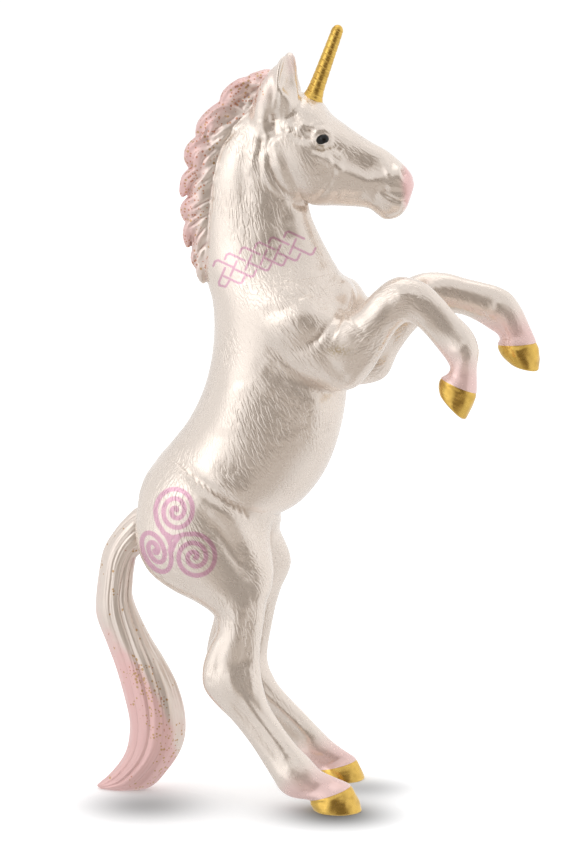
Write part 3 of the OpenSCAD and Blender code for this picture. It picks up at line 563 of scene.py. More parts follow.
# Ear: rows of photograph height, middle and half width in pixels, from the foot to the tip.
ear = dict(rows=[(128, 280, 10), (117, 282, 14.5), (106, 283.5, 15.6), (96, 284.3, 15), (86, 284.8, 13.6),
                 (76, 285, 12), (68, 285.2, 10.4), (62, 285.6, 8.4), (58, 286, 6.2), (55.6, 286, 3.6),
                 (54.8, 286, 0.6)],
           plane=-4.2, pixel=0.1475, across=(1.9, 3.9), dish=0.32, open=150, facing=44, flat=0.8)


def earGrid(look, side, steps=60, around=48):
    # A hollow leaf: round each level runs its back as an arc, and its front as a line from
    # rim to rim, dished by a parabola; the foot is round and sunk in the head.
    t, s = shares(steps), np.linspace(-1, 1, around // 2)[None, :]
    rows = catmull(look["rows"], t)
    middle = fromPhoto(rows[:, [1, 0]], look["plane"])
    wide = rows[:, 2:3] * look["pixel"]
    opened = ease(t, 0.17, 0.46)
    half = pi - radians(look["open"]) / 2 * opened
    dished = -np.cos(half) - look["dish"] * opened * (1 - s * s)
    x = np.concatenate([-np.cos(half * s), dished], axis=1) * wide * look["flat"]
    y = np.concatenate([np.sin(half * s), -np.sin(half) * s], axis=1) * wide
    facing = radians(look["facing"])
    out = look["across"][0] + (look["across"][1] - look["across"][0]) * ease(t, 0.0, 0.6)
    return np.stack([middle[:, :1] + x * cos(facing) - y * sin(facing),
                     side * (out + x * sin(facing) + y * cos(facing)), middle[:, 1:] + 0 * x], axis=-1)


# Mane: an inner crest (share left off behind, reach into the neck in mm, share of the width) and
# curled locks, each its thickness and its place across at both ends in mm, then a line of
# photograph pixels from the neck to its curled end; and finer strokes.
mane = dict(crest=(0.32, 1.2, 0.85), locks=[
    (1.25, 1.6, 0.6, 281, 86, 270, 79, 258, 81, 250, 82, 245, 88),
    (1.1, 1.3, 1.0, 262, 80, 250, 84, 238, 88, 228, 96, 224, 108, 227, 119),
    (0.7, 1.9, 1.5, 250, 90, 240, 93, 231, 100, 229, 111),
    (1.3, 1.6, 0.7, 236, 112, 224, 110, 211, 119, 202, 128, 198, 140),
    (0.9, 2.0, 1.4, 230, 124, 219, 121, 209, 129, 206, 141, 212, 149),
    (1.2, 1.7, 0.7, 222, 138, 208, 140, 195, 148, 189.5, 158, 192, 169),
    (0.95, 2.1, 1.7, 217, 150, 207, 151, 199, 157, 199, 166, 206, 169),
    (1.15, 1.8, 0.6, 216, 160, 204, 168, 190, 178, 184.5, 189, 182, 197),
    (0.85, 2.0, 1.5, 215, 174, 205, 181, 197, 188, 196, 197),
    (1.1, 1.8, 0.7, 213, 188, 204, 196, 192, 203, 185, 210, 186, 222),
    (0.75, 2.1, 1.6, 212, 199, 202, 205, 193, 211, 190, 220),
    (1.1, 1.7, 0.7, 211, 212, 202, 219, 192, 226, 188, 237, 188, 248),
    (0.8, 1.9, 1.4, 210, 225, 202, 233, 196, 243, 195, 254),
    (1.0, 1.6, 0.8, 209, 240, 201, 249, 196, 259, 198, 269),
    (0.85, 1.4, 0.7, 209, 254, 203, 263, 201, 274, 204, 284)],
    strands=[
    (0.35, 0.2, 223, 138, 214, 144, 206, 152), (0.35, 0.2, 219, 150, 210, 157, 203, 166),
    (0.35, 0.2, 217, 164, 208, 172, 201, 181), (0.35, 0.18, 215, 178, 207, 185, 199, 192),
    (0.35, 0.2, 228, 128, 219, 133, 212, 139), (0.28, 0.14, 248, 112, 238, 119, 230, 128),
    (0.9, -0.5, 246, 102, 239, 110), (0.5, -0.25, 246, 93, 252, 98, 250, 106),
    (0.35, 0.2, 251, 98, 249, 104), (0.28, 0.14, 240, 124, 230, 131, 221, 141),
    (0.25, -0.14, 236, 116, 226, 124), (0.25, -0.14, 234, 132, 224, 143),
    (0.25, -0.2, 212, 199, 203, 203, 193, 209), (0.25, -0.2, 208, 214, 199, 220, 191, 226),
    (0.25, -0.2, 206, 226, 198, 236, 194, 246), (0.25, -0.2, 206, 243, 199, 251, 196, 261),
    (0.4, -0.3, 190, 233, 193, 246, 195, 259), (0.5, -0.3, 208, 127, 206, 136, 209, 143)])


def lockGrid(path, thick, flutes=6, steps=60, around=48):
    # A strand: a curve through its points, its thickness swelling and then tapering, and its
    # round fluted by a cosine so that hair grooves run along it.
    t, a = shares(steps)[:, 0], turns(around)
    line = catmull(path, t)
    way = unit(np.gradient(line, axis=0))
    across = unit(np.cross(way, [0, 1, 0]))
    lift = np.cross(across, way)
    size = thick * (0.6 + 0.4 * np.sin(pi * np.clip(t * 0.95 + 0.12, 0, 1)))
    size = size * np.sqrt(np.clip(1.02 - t ** 6, 0.03, 1))
    r = size[:, None] * (1 + 0.1 * np.cos(flutes * a + 1.5 * t[:, None]))
    out = across[:, None] * (r * np.cos(a))[..., None] + lift[:, None] * (r * np.sin(a) * 0.85)[..., None]
    return line[:, None] + out


def lockPair(name, line, across, thick, flutes=6):
    # The same strand on both sides, from photograph pixels and places across.
    flat = fromPhoto(np.reshape(line, (-1, 2)), -across)
    return [tube(name, lockGrid(upright(flat, side * across), thick, flutes)) for side in (-1, 1)]


def manePieces():
    # The crest runs from inside the mane's rings to a little way into the neck; the locks bulge
    # outward by half a sine along their length.
    rows = np.array(rings["mane"])
    rear, front = rows[:, 0:2], rows[:, 2:4]
    back, over, thin = mane["crest"]
    crest = np.hstack([rear + back * (front - rear), front + over * unit(front - rear), rows[:, 4:5] * thin])
    made = [tube("crest", ringSkin(crest, *figure["mesh"]["crest"]))]
    for thick, start, end, *line in mane["locks"]:
        many = len(line) // 2
        across = np.linspace(start * 0.75, end, many) + 0.35 * np.sin(np.linspace(0, pi, many))
        made += lockPair("lock", line, across, thick)
    return made


def filler(name):
    # A ball on the middle plane that fills a hollow between two castings.
    spot, size = figure[name]
    x, z = fromPhoto(spot, 0.0)[0]
    return ball(name, (x, 0.0, z), size, scale=1.0)


def domeOf(flat):
    # Round shoulder: a bell of the distance from its middle, wider behind it than in front.
    (x, y), (back, front), tall, high = figure["dome"]
    across = (flat[:, 0] - x) / np.where(flat[:, 0] < x, back, front)
    return high * np.exp(-across ** 2 - ((flat[:, 1] - y) / tall) ** 2)


def soften(skin, spot, inner, outer, rounds):
    # Smooths the points within a distance in pixels of a spot of the photograph, less along the
    # neck's seam, where both skins have to agree.
    away = lengthOf(toPhoto(skin.points) - spot)
    low, high = np.array(figure["seam"])
    slope = (high - low)[::-1] / lengthOf(high - low) * [-1, 1]
    seamed = ease(np.abs((skin.points[:, [0, 2]] - low) @ slope), 0.3, 1.5)
    skin.smooth(rounds, weight=ease(-away, -outer, -inner) * (0.4 + 0.6 * seamed))


mesh = figure["mesh"]
headRings = rings["body"][9:] + rings["neck"] + rings["head"]
headPieces = [tube("neckAndHead", ringSkin(headRings, *mesh["head"]))]
headPieces += [tube("ear", earGrid(ear, side)) for side in (-1, 1)] + manePieces()
headPieces += lockPair("earBack", figure["earBack"], np.array(figure["earAcross"]), figure["earThick"], 0)
headSkin = fused("headSkin", headPieces + [filler("poll")], figure["headCell"])
print("head skin", len(headSkin.data.vertices))

bodyPieces = [tube("trunk", ringSkin(rings["body"] + rings["neck"][:5], *mesh["trunk"]))]
bodyPieces += [tube(leg, ringSkin(rings[leg] + rings[leg + "Hoof"], *mesh["leg"], side))
               for _, _, leg, side in legs]
tailRows = [r + (0,) for r in rings["tail"]]
bodyPieces.append(tube("dock", ringSkin([(-24.5, 46.5, -24.5, 36.5, 3.2, 0)] + tailRows[:4], *mesh["dock"])))
bodySkin = fused("bodySkin", bodyPieces + [filler("breast")], figure["bodyCell"])
print("body skin", len(bodySkin.data.vertices))


pixelsPerMm = 6.8    # of the photograph, near the figure's middle


def filletCreases(skin, rounds, strength):
    # Fills only the hollow creases: points whose neighbours lie outside of them are smoothed
    # most, and the weight is spread a little round them.
    skin.keepSize(6)
    weight = ease(dots(skin.mean(skin.points) - skin.points, skin.normals()), strength * 0.3, strength)
    for _ in range(14):
        weight = np.maximum(weight, skin.mean(weight) * 0.985)
    skin.smooth(rounds, weight=np.clip(weight * 1.3, 0, 1))
    skin.keepSize(4)


def sculpt(skin, marks, extra):
    # Sum of the strokes, each faded where the skin turns away from the side, pushed outward.
    flat, n = toPhoto(skin.points), skin.normals()
    total = domeOf(flat) + sum(strokes(flat, line, radius * pixelsPerMm, tall)
                               for radius, tall, *line in marks)
    skin.push(total * ease(np.abs(n[:, 1]), 0.05, 0.45) + extra(skin.points, n))
    skin.keepSize(1)


# swellings of the head: x, z, across, reach and height in mm, and the round jowl
swells = [(-1.55, 97.3, 4.5, 5.2, 0.75), (1.05, 102.7, 4.0, 1.8, 0.3), (4.85, 97.9, 3.75, 2.0, 0.2),
          (12.25, 95.9, 2.75, 1.4, 0.45)]
jowl = dict(spot=(297, 166), plane=-4.5, radius=5.6, edge=0.9, tall=0.22)


def headForms(points, n):
    # Each swelling is a bell of the distance from its middle; the jowl is a flat disc with an
    # eased edge.
    total = np.zeros(len(points))
    for x, z, y, reach, tall in swells:
        away = (points[:, 0] - x) ** 2 + (points[:, 2] - z) ** 2 + (np.abs(points[:, 1]) - y) ** 2
        total += tall * np.exp(-away / reach ** 2)
    far = lengthOf(points[:, [0, 2]] - fromPhoto(jowl["spot"], jowl["plane"])[0])
    disc = jowl["tall"] * ease(jowl["radius"] - far, 0, jowl["edge"])
    return total + disc * ease(np.abs(n[:, 1]), 0.1, 0.5)


def bodyForms(points, n):
    # The strokes of each leg, on the leg's own side.
    total = np.zeros(len(points))
    facing = ease(np.abs(n[:, 1]), 0.05, 0.45)
    for name, _, leg, side in legs[2:] + legs[:2]:
        own = ease(side * points[:, 1], 0.2, 1.5) * facing
        for radius, tall, *spots in hindMarks if "hind" in name else foreMarks:
            total += own * strokes(points[:, [0, 2]], legLine(rings[leg], spots), radius, tall)
    return total


strip = catmull([(0, 0) + r[2:4] for r in rings["mane"]], shares(80))[:, 2:4]


def behindStrip(points):
    # How far a point lies behind the line where the mane meets the neck, in mm.
    return nearPath(points[:, [0, 2]], strip, signed=True)[0]


# Where the coat fades in mm: along the muzzle, up and back over the ears, behind the mane's line,
# down the legs and out along the forelegs; the smoother round at the breast (middle, inner and
# outer reach in pixels), and the seed and size of its patches.
bare = dict(muzzle=(6.0, 12.0), earsUp=(104.5, 106.5), earsBack=(1.5, 3.0), mane=(-0.4, 0.4),
            legs=(8.0, 30.0), forelegs=(9.0, 20.0), breast=((345, 300), 10, 26), patches=(11, 8.0))


def coverOf(points, isHead):
    # How strongly the coat's hair shows: less on the muzzle, ears and lower legs, none on the
    # mane, and patchy over the body.
    patchy = 0.6 + 0.4 * np.clip(lumps(points, *bare["patches"]), -1, 1)
    middle, inner, outer = bare["breast"]
    patchy *= 1 - 0.75 * ease(-lengthOf(toPhoto(points) - middle), -outer, -inner)
    if isHead:
        muzzle = 0.65 * ease(points[:, 0], *bare["muzzle"])
        ears = 0.7 * ease(points[:, 2], *bare["earsUp"]) * ease(-points[:, 0], *bare["earsBack"])
        inFront = 1 - ease(behindStrip(points), *bare["mane"])
        return np.clip((0.85 - muzzle - ears) * patchy, 0.05, 1) * inFront
    low = 0.3 + 0.7 * ease(points[:, 2], *bare["legs"])
    return np.clip(low * (1 - 0.55 * ease(points[:, 0], *bare["forelegs"])) * patchy, 0.06, 1)


# The coat of each skin: length of its tufts in mm, how dense it is, and its seed.
tufts = dict(head=((0.7, 1.6), 1.2, 3), body=((1.2, 2.8), 1.0, 5))


def finishSkin(skin, part, marks, forms):
    # Softens the spots named for this part, sculpts it and grows its coat, whose number of tufts
    # is the skin's area times the coat's tufts in a square mm.
    for spot in figure[part + "Soft"]:
        soften(skin, *spot)
    sculpt(skin, marks + neckMarks, forms)
    length, dense, seed = tufts[part]
    count = len(skin.points) * figure[part + "Cell"] ** 2 * coat["perSquare"] * dense
    cover = coverOf(skin.points, part == "head")
    skin.push(hairs(skin.points, skin.normals(), length, int(count), seed, cover))
    skin.store()
    print(part, "sculpted")


# The mane is smoothed a little more, and so is the skin round the ears.
head = Skin(headSkin)
filletCreases(head, *figure["headCrease"])
head.smooth(4, weight=ease(behindStrip(head.points), 0.1, 0.6))
middle, wide, (inner, outer), rounds = figure["ears"]
head.smooth(rounds, weight=ease(-lengthOf((toPhoto(head.points) - middle) / wide), -outer, -inner))
finishSkin(head, "head", headMarks + mane["strands"], headForms)
body = Skin(bodySkin)
filletCreases(body, *figure["bodyCrease"])
finishSkin(body, "body", bodyMarks, bodyForms)

# The skins are cut into their castings along the seats of the real joints.
seam = np.array(figure["seam"])
run = unit(seam[1] - seam[0])
left, right = seam[0] - 40 * run, seam[1] + 60 * run
above = prism("above", [left, right, right + [0, 60], left + [0, 60]], -30, 30)
castings = dict(head_and_neck=cut(headSkin, above, "INTERSECT"))
cut(bodySkin, above, "DIFFERENCE")
behind = prism("behind", [*strip, strip[-1] - [30, 0], strip[0] + [-30, 30], strip[0] + [0, 30]], -9, 9)
manePiece = cut(copyOf(headSkin, "mane"), behind, "INTERSECT")
named(cut(headSkin, behind, "DIFFERENCE"), "head_and_neck")
drop(above, behind)

# Seats of the real joints in mm: the haunch line, outlines in the side view, and steps, which
# are outlines seen from behind for the haunch and from above for the shoulder.
seats = dict(
    haunch=((-22.55, 53.52), (-5.15, 43.6)),
    haunchSteps=[(0.0, -5), (0.0, 31.6), (4.6, 31.6), (4.6, 99), (30, 99), (30, -5)],
    shoulder=[(-9.1, 71.2), (-7.32, 67.6), (-2.45, 64.5), (2.85, 63.2), (6.45, 60), (50, 50), (50, 84),
              (6.45, 82.3), (3.6, 80.9), (-0.2, 78.3), (-4.95, 77.4)],
    shoulderSteps=[(-12, 5.6), (5.7, 5.6), (5.7, 0), (60, 0), (60, 31), (-12, 31)],
    tail=[(-60, 34), (-26.5, 34), (-26.5, 47), (-60, 47)], tailHalf=3.6,
    trim=[(-60, 0), (-10, 0), (-10, 30), (-26.5, 34), (-26.5, 60), (-60, 60)])


def haunchRegion(side):
    # Everything beyond the haunch seat and under the haunch line, and below the crotch all of
    # that side: an L-shaped slab whose top slants.
    across, up = np.array(seats["haunchSteps"]).T
    (rear, high), (front, low) = seats["haunch"]
    ends = []
    for x, least in ((-50.0, -99), (40.0, 12)):
        top = np.minimum(up, high + (low - high) / (front - rear) * (x - rear))
        top = np.maximum(top, np.where(up < 0, -5, least))
        ends.append(np.column_stack([np.full(6, x), side * across, top]))
    return slab("haunchRegion", ends)


def shoulderRegion(side):
    # The upper arm beyond the shoulder seat, and in front of the chest all of that side.
    region = prism("region", seats["shoulder"], min(0, side * 30), max(0, side * 30))
    other = prism("steps", [(x, side * y) for x, y in seats["shoulderSteps"]], 40, 95, "z")
    cut(region, other, "INTERSECT")
    drop(other)
    return region


coronets = []
for name, _, leg, side in legs[2:] + legs[:2]:
    cutter = haunchRegion(side) if "hind" in name else shoulderRegion(side)
    castings[name] = cut(copyOf(bodySkin, name), cutter, "INTERSECT")
    cut(bodySkin, cutter, "DIFFERENCE")
    # the leg ends where its hoof begins, square to the middle line there
    top, sole = np.array(rings[leg][-1]), np.array(rings[leg + "Hoof"][-1])
    rear, front, y = top[0:2], top[2:4], side * top[5]
    way = unit(front - rear)
    down = (sole[0:2] + sole[2:4]) / 2 - (rear + front) / 2
    down = unit(down - way * (down @ way))
    coronets.append(((rear + front) / 2, y, down))
    rear, front = rear - 2 * way, front + 2 * way
    box = prism("box", [rear, front, front + 9 * down, rear + 9 * down], y - 5, y + 5)
    cut(castings[name], box, "DIFFERENCE")
    drop(cutter, box)
tailBox = prism("tailBox", seats["tail"], -seats["tailHalf"], seats["tailHalf"])
castings["torso"] = named(cut(bodySkin, tailBox, "DIFFERENCE"), "torso")
drop(tailBox)
print("castings cut", list(castings))

# Hooves: a smooth wall drawn in under the coronet, faint growth rings and a rounded sole edge.
hoof = dict(inset=0.06, wallRings=0.003, ringStep=0.55, edge=0.25, dent=0.035, rows=400, start=133, steps=70,
            around=128)


def hoofPiece(name, leg, side):
    # The leg's last ring carried to the sole: the wall is drawn in a little under the coronet,
    # rippled by faint growth rings and dents and rounded into the sole.
    grid = ringSkin(rings[leg][-2:] + rings[leg + "Hoof"], hoof["rows"], hoof["around"], side)
    t = shares(hoof["steps"])
    grid = grid[np.linspace(hoof["start"], hoof["rows"] - 1, hoof["steps"]).round().astype(int)]
    middle = grid.mean(axis=1, keepdims=True)
    out = grid - middle
    size = lengthOf(out)
    tall = lengthOf(middle[-1, 0] - middle[0, 0])
    inset = hoof["inset"] * (1 - ease(t, 0.0, 0.16)) + hoof["edge"] * ease(t, 0.86, 1.0) ** 2
    ripple = hoof["wallRings"] * np.sin(2 * pi * t * tall / hoof["ringStep"])
    ripple *= ease(t, 0.12, 0.3) * ease(1 - t, 0.05, 0.2)
    dents = hoof["dent"] * lumps(grid.reshape(-1, 3), 21, 2.2).reshape(size.shape)
    size = (size - inset + ripple + dents * ease(t, 0.05, 0.2) * ease(1 - t, 0.0, 0.1)) / size
    return tube(name, middle + out * size[..., None], mm)


hooves = {name: hoofPiece(name, leg, side) for _, name, leg, side in legs}
print("hooves made")

# Horn: where it stands (x, z), its slant in degrees, lengths and widths in mm, turns and relief.
horn = dict(at=(-0.35, 106.7), slant=20, sink=0.9, long=11.6, base=2.5, tip=1.7, flare=0.35, turns=12.5,
            groove=0.04, strands=0.003)


def hornGrid(look, steps=420, around=96):
    # A cone rounded at its tip and flared at its foot. A narrow groove runs round it as a screw:
    # the thickness follows the screw's phase, up plus round.
    t, a = shares(steps), turns(around)
    thick = (look["base"] + (look["tip"] - look["base"]) * t) / 2
    thick = thick + look["flare"] * np.exp(-(t - 0.08) / 0.07)
    cap = np.sqrt(np.clip(1 - (np.clip(t - 0.92, 0, 1) / 0.08) ** 2, 0.0, 1))
    phase = look["turns"] * t + a / (2 * pi)
    wave = np.mod(phase, 1)
    groove = look["groove"] * (bell((wave - 0.5) / 0.11) - 0.5 * bell((wave - 0.72) / 0.12))
    wobble = look["strands"] * (np.sin(2 * pi * 3 * phase + 2 * np.sin(3 * a)) + np.sin(3 * a + 9 * t))
    r = np.maximum((thick - (groove + wobble) * cap * ease(t, 0.0, 0.03)) * cap, 0.01)
    up = (look["long"] + look["sink"]) * t - look["sink"] + 0 * a
    lean = radians(look["slant"])
    x, (atX, atZ) = r * np.cos(a), look["at"]
    return np.stack([atX + x * cos(lean) + up * sin(lean), r * np.sin(a),
                     atZ - x * sin(lean) + up * cos(lean)], axis=-1)


hornPiece = tube("horn", hornGrid(horn), mm)

# Eyes: x, z, place across and radius in mm.
eyes = dict(at=(1.58, 101.05), across=4.2, size=0.88)
eyePieces = {name: ball(name, (eyes["at"][0], side * eyes["across"], eyes["at"][1]), eyes["size"])
             for name, side in (("right_eye", -1), ("left_eye", 1))}

# Tail: its grooves, and the line where its colours meet as pixels down and across.
tail = dict(steps=440, around=216, locks=5, lockDeep=0.28, counts=(17, 23, 31, 43), fine=0.012, fold=0.34,
            meet=[(560, 97), (620, 104), (666, 140), (696, 156), (728, 170), (760, 176), (790, 150)])


def tailGrid(look):
    # The tail's rings with grooves: round locks are the root of a cosine of the angle that
    # drifts round the tail as it runs down, with finer seeded waves on them.
    t, a = shares(look["steps"]), turns(look["around"])
    rows = catmull(tailRows, t)
    middle = upright((rows[:, 0:2] + rows[:, 2:4]) / 2, 0 * rows[:, 0])[:, None]
    out = ringSkin(tailRows, look["steps"], look["around"]) - middle
    rng = np.random.default_rng(8)
    drift = a + 1.15 * t + 0.16 * np.sin(5 * t + 2 * a) + 0.1 * np.sin(11 * t + 1)
    locks = (np.abs(np.cos(look["locks"] * drift)) ** 0.8 - 0.65) * (0.75 + 0.35 * np.sin(a * 2 + 6 * t + 1))
    fine = sum(np.cos(count * (drift + 0.03 * np.sin(7 * t * pi + rng.uniform(0, 6))) + rng.uniform(0, 6))
               for count in look["counts"])
    fold = look["fold"] * bell((np.mod(a + 2.2 * t - 0.2 + pi, 2 * pi) - pi) / 0.5) * ease(t, 0.05, 0.3)
    deep = look["lockDeep"] * locks + look["fine"] * fine + fold
    deep = deep * ease(t, 0.0, 0.06) * ease(1 - t, 0.0, 0.16)
    return middle + out * (1 + deep / np.maximum(lengthOf(out), 0.8))[..., None]


tailPiece = tube("tail", tailGrid(tail))
trim = prism("trim", seats["trim"], -9, 9)
cut(tailPiece, trim, "INTERSECT")
drop(trim)
print("tail made")


class Wire:
    # A socket that can be used in sums; each sum adds its Math node.

    def __init__(self, board, socket):
        self.board, self.socket = board, socket

    def sum(self, how, *terms):
        return self.board.node("ShaderNodeMath", dict(operation=how), *terms)

    def out(self, k):
        # Another output of the same node.
        return Wire(self.board, self.socket.node.outputs[k])

    def __add__(self, other):
        return self.sum("ADD", self, other)

    def __sub__(self, other):
        return self.sum("SUBTRACT", self, other)

    def __rsub__(self, other):
        return self.sum("SUBTRACT", other, self)

    def __mul__(self, other):
        return self.sum("MULTIPLY", self, other)

    def __rpow__(self, other):
        return self.sum("POWER", other, self)

    def __abs__(self):
        return self.sum("ABSOLUTE", self)

    def __lt__(self, other):
        return self.sum("LESS_THAN", self, other)

    __radd__, __rmul__ = __add__, __mul__


class Board:
    # The node board of one material, or of the world.

    def __init__(self, name="", tree=None):
        if tree is None:
            self.material = bpy.data.materials.new(name)
            self.material.use_nodes = True
        self.tree = tree or self.material.node_tree
        self.tree.nodes.clear()

    def plug(self, socket, value):
        if isinstance(value, Wire):
            self.tree.links.new(value.socket, socket)
        elif isinstance(value, tuple) and socket.type == "RGBA":
            socket.default_value = (*value[:3], 1)
        else:
            socket.default_value = value

    def node(self, kind, settings=None, *values, out=0, **sockets):
        made = self.tree.nodes.new(kind)
        for key, value in (settings or {}).items():
            setattr(made, key, value)
        for key, value in list(enumerate(values)) + [(k.replace("_", " "), v) for k, v in sockets.items()]:
            self.plug(made.inputs[key], value)
        return Wire(self, made.outputs[out] if made.outputs else None)

    def mix(self, share, one, other):
        # Colour between two colours.
        node = self.tree.nodes.new("ShaderNodeMix")
        node.data_type = "RGBA"
        for k, value in ((0, share), (6, one), (7, other)):
            self.plug(node.inputs[k], value)
        return Wire(self, node.outputs[2])

    def step(self, value, low, high):
        # Nought below low and one above high, or the other way round, eased between.
        if low > high:
            return 1 - self.step(value, high, low)
        smooth = dict(interpolation_type="SMOOTHSTEP")
        return self.node("ShaderNodeMapRange", smooth, value, low, high, 0.0, 1.0)

    def place(self):
        return self.node("ShaderNodeTexCoord", out=3)

    def noise(self, spot, size, detail=2.0, rough=0.5):
        # Noise round nought whose lumps are about this many mm across.
        scale = 1.0 / (size * mm)
        return self.node("ShaderNodeTexNoise", None, spot, Scale=scale, Detail=detail, Roughness=rough) - 0.5

    def value(self, name, out=2):
        # A value that the mesh carries at each point.
        return self.node("ShaderNodeAttribute", dict(attribute_name=name), out=out)

    def bump(self, height, depth):
        # Normal of a surface raised by height times depth in mm.
        return self.node("ShaderNodeBump", Strength=1.0, Distance=depth * mm, Height=height)

    def finish(self, **sockets):
        shader = self.node("ShaderNodeBsdfPrincipled", **sockets)
        self.node("ShaderNodeOutputMaterial", None, shader)
        return self.material


# Hair painted as relief: directions, grain length and width in mm, noise, depth in mm, groove.
strand = dict(ways=10, long=2.7, wide=0.5, detail=0.6, rough=0.5, depth=0.036, groove=0.16)


def strandHeight(board, spot):
    # Height of the fine hair. Noise stretched along a few fixed directions; at each point those
    # nearest to the hair's own direction are added, weighed by the cosine between them, and the
    # size of the sum is taken, so that a thin groove follows every zero of it.
    lie = board.value("lie", 1)
    total = 0.0
    for k in range(strand["ways"]):
        angle = pi * k / strand["ways"]
        turned = board.node("ShaderNodeMapping", dict(vector_type="TEXTURE"), spot, Rotation=(0, -angle, 0),
                            Scale=(strand["long"] * mm, strand["wide"] * mm, strand["wide"] * mm))
        near = board.node("ShaderNodeVectorMath", dict(operation="DOT_PRODUCT"), lie,
                          (cos(2 * angle), sin(2 * angle), 0.0), out=1)
        grain = board.noise(turned, 1 / mm, strand["detail"], strand["rough"])
        total = total + board.step(near, cos(2 * pi / strand["ways"]), 1.0) * grain
    return board.step(abs(total), 0.0, strand["groove"])


# The warm and the deep colours are painted shade: the warm one in the fine hollows, the deep one in the wide
# dells and the hair's grooves.
pearl = dict(light=(0.83, 0.735, 0.655), shadeWarm=(0.53, 0.41, 0.33), deep=(0.60, 0.485, 0.40),
             blush=(0.84, 0.52, 0.505), mark=(0.66, 0.36, 0.47), smudge=(0.42, 0.30, 0.12),
             black=(0.012, 0.01, 0.009), metal=0.66, rough=0.265)


def pearlPaint():
    # Coats of colour one over another, each by its own share, on a satin metallic ground, with the hair and
    # a fine grain as relief. The darker coats in the wide dells, the fine hollows and the hair's grooves are
    # painted shade.
    board = Board("pearlPaint")
    spot = board.place()
    hair = strandHeight(board, spot)
    cover, blush = board.value("cover"), board.value("blush")
    printed = board.step(board.value("mark") + board.noise(spot, 0.5) * 0.4, 0.5, -0.5)
    grains = board.step(board.noise(spot, 0.3), -0.1, 0.15)
    base = pearl["light"]
    # the first three coats are painted shade, darkening the dells, the hollows and the hair's grooves
    for share, colour in ((board.step(board.value("dellShade"), 0.05, 1.0) * 0.5, "deep"),
                          (board.step(board.value("hollow"), 0.2, 1.6) * 0.32, "shadeWarm"),
                          ((1 - hair) * cover * 0.14, "deep"), (blush * 0.85, "blush"),
                          (printed * 0.88, "mark"), (board.value("smudge") * grains * 0.75, "smudge"),
                          (board.step(board.value("pupil"), 0.4, 0.6), "black")):
        base = board.mix(share, base, pearl[colour])
    return board.finish(Base_Color=base, Metallic=pearl["metal"] - blush * 0.35, Specular_IOR_Level=0.6,
                        Roughness=pearl["rough"] + board.noise(spot, 0.8) * 0.08,
                        Coat_Weight=0.2, Coat_Roughness=0.2,
                        Normal=board.bump(hair * cover + board.noise(spot, 0.6) * 0.1, strand["depth"]))


# The dark gold serves as painted shade in the hollows and as the paint's uneven tone.
gold = dict(light=(0.80, 0.52, 0.125), dark=(0.46, 0.27, 0.05), rough=0.28)


def goldPaint():
    # Two golds, the darker as painted shade in the hollows, and as the paint's own uneven tone where a noise
    # is high, which roughens it too.
    board = Board("goldPaint")
    spot = board.place()
    patch = board.noise(spot, 1.1, 4.0)
    dark = board.step(board.value("hollow") * 0.5 + patch * 1.4, -0.3, 0.7)
    return board.finish(Base_Color=board.mix(dark, gold["light"], gold["dark"]), Metallic=0.94,
                        Roughness=gold["rough"] + patch * 0.2, Specular_IOR_Level=0.5,
                        Normal=board.bump(board.noise(spot, 0.5, 3.0) + board.noise(spot, 1.4, 1.0), 0.012))


tress = dict(pearl=(0.80, 0.70, 0.625), pink=(0.78, 0.50, 0.475), shade=(0.46, 0.29, 0.25),
             copper=(0.55, 0.22, 0.13), gilt=(0.56, 0.33, 0.14), speck=0.5, dot=0.28)


def hairPaint():
    # Pearl that turns pink, darker in the hollows and dells as painted shade, with glitter: of the cells of
    # a Voronoi pattern those whose own number is low are picked, and of each a dot of its own size.
    board = Board("hairPaint")
    spot = board.place()
    blush = board.step(board.value("blush") + board.noise(spot, 3.0) * 0.7, 0.0, 1.0)
    base = board.mix(blush, tress["pearl"], tress["pink"])
    # painted shade in the fine hollows and the wide dells
    base = board.mix(board.step(board.value("hollow"), 0.2, 1.6) * 0.45, base, tress["shade"])
    base = board.mix(board.step(board.value("dellShade"), 0.1, 1.2) * 0.45, base, tress["shade"])
    cells = board.node("ShaderNodeTexVoronoi", None, spot, Scale=1.0 / (tress["speck"] * mm))
    picked = board.node("ShaderNodeSeparateColor", None, cells.out(1))
    second = picked.out(1)
    crowd = board.step(board.noise(spot, 2.4, 1.0) * 1.3 + board.value("glitter") * 0.5, 0.04, 0.5)
    dots = (cells < tress["dot"] * (0.6 + second)) * (picked < crowd * 0.95)
    speck = board.mix(board.step(second + board.value("gilt"), 0.75, 0.85), tress["copper"], tress["gilt"])
    return board.finish(Base_Color=board.mix(dots * 0.85, base, speck),
                        Metallic=0.62 - blush * 0.3 + dots * 0.15, Roughness=0.31,
                        Coat_Weight=0.2, Coat_Roughness=0.2,
                        Normal=board.bump(board.noise(spot, 0.3, 2.0) * (1 - dots), 0.015))


def blackGloss():
    black = (0.006, 0.005, 0.005)
    return Board("blackGloss").finish(Base_Color=black, Roughness=0.12, Specular_IOR_Level=0.35)


def hollowOf(skin, rounds, size):
    # How far each point lies under the mean of its surroundings, as a share of a depth.
    mean = skin.points
    for _ in range(rounds):
        mean = skin.mean(mean)
    return np.clip(dots(mean - skin.points, skin.normals()) / size, -1, 2)


# Pink: where it fades out, up the pasterns and round them in mm, and down the lip, the inner ear
# and the crown in pixels; where it fades in on the snout; and the inner ear's middle and reach.
pinks = dict(up=(1.2, 6.6), round=(6.0, 8.8), snout=(397, 408), lip=(208, 218), inner=(291, 5),
             innerDown=(66, 82), crown=(262, 280), crownDown=(85, 112))


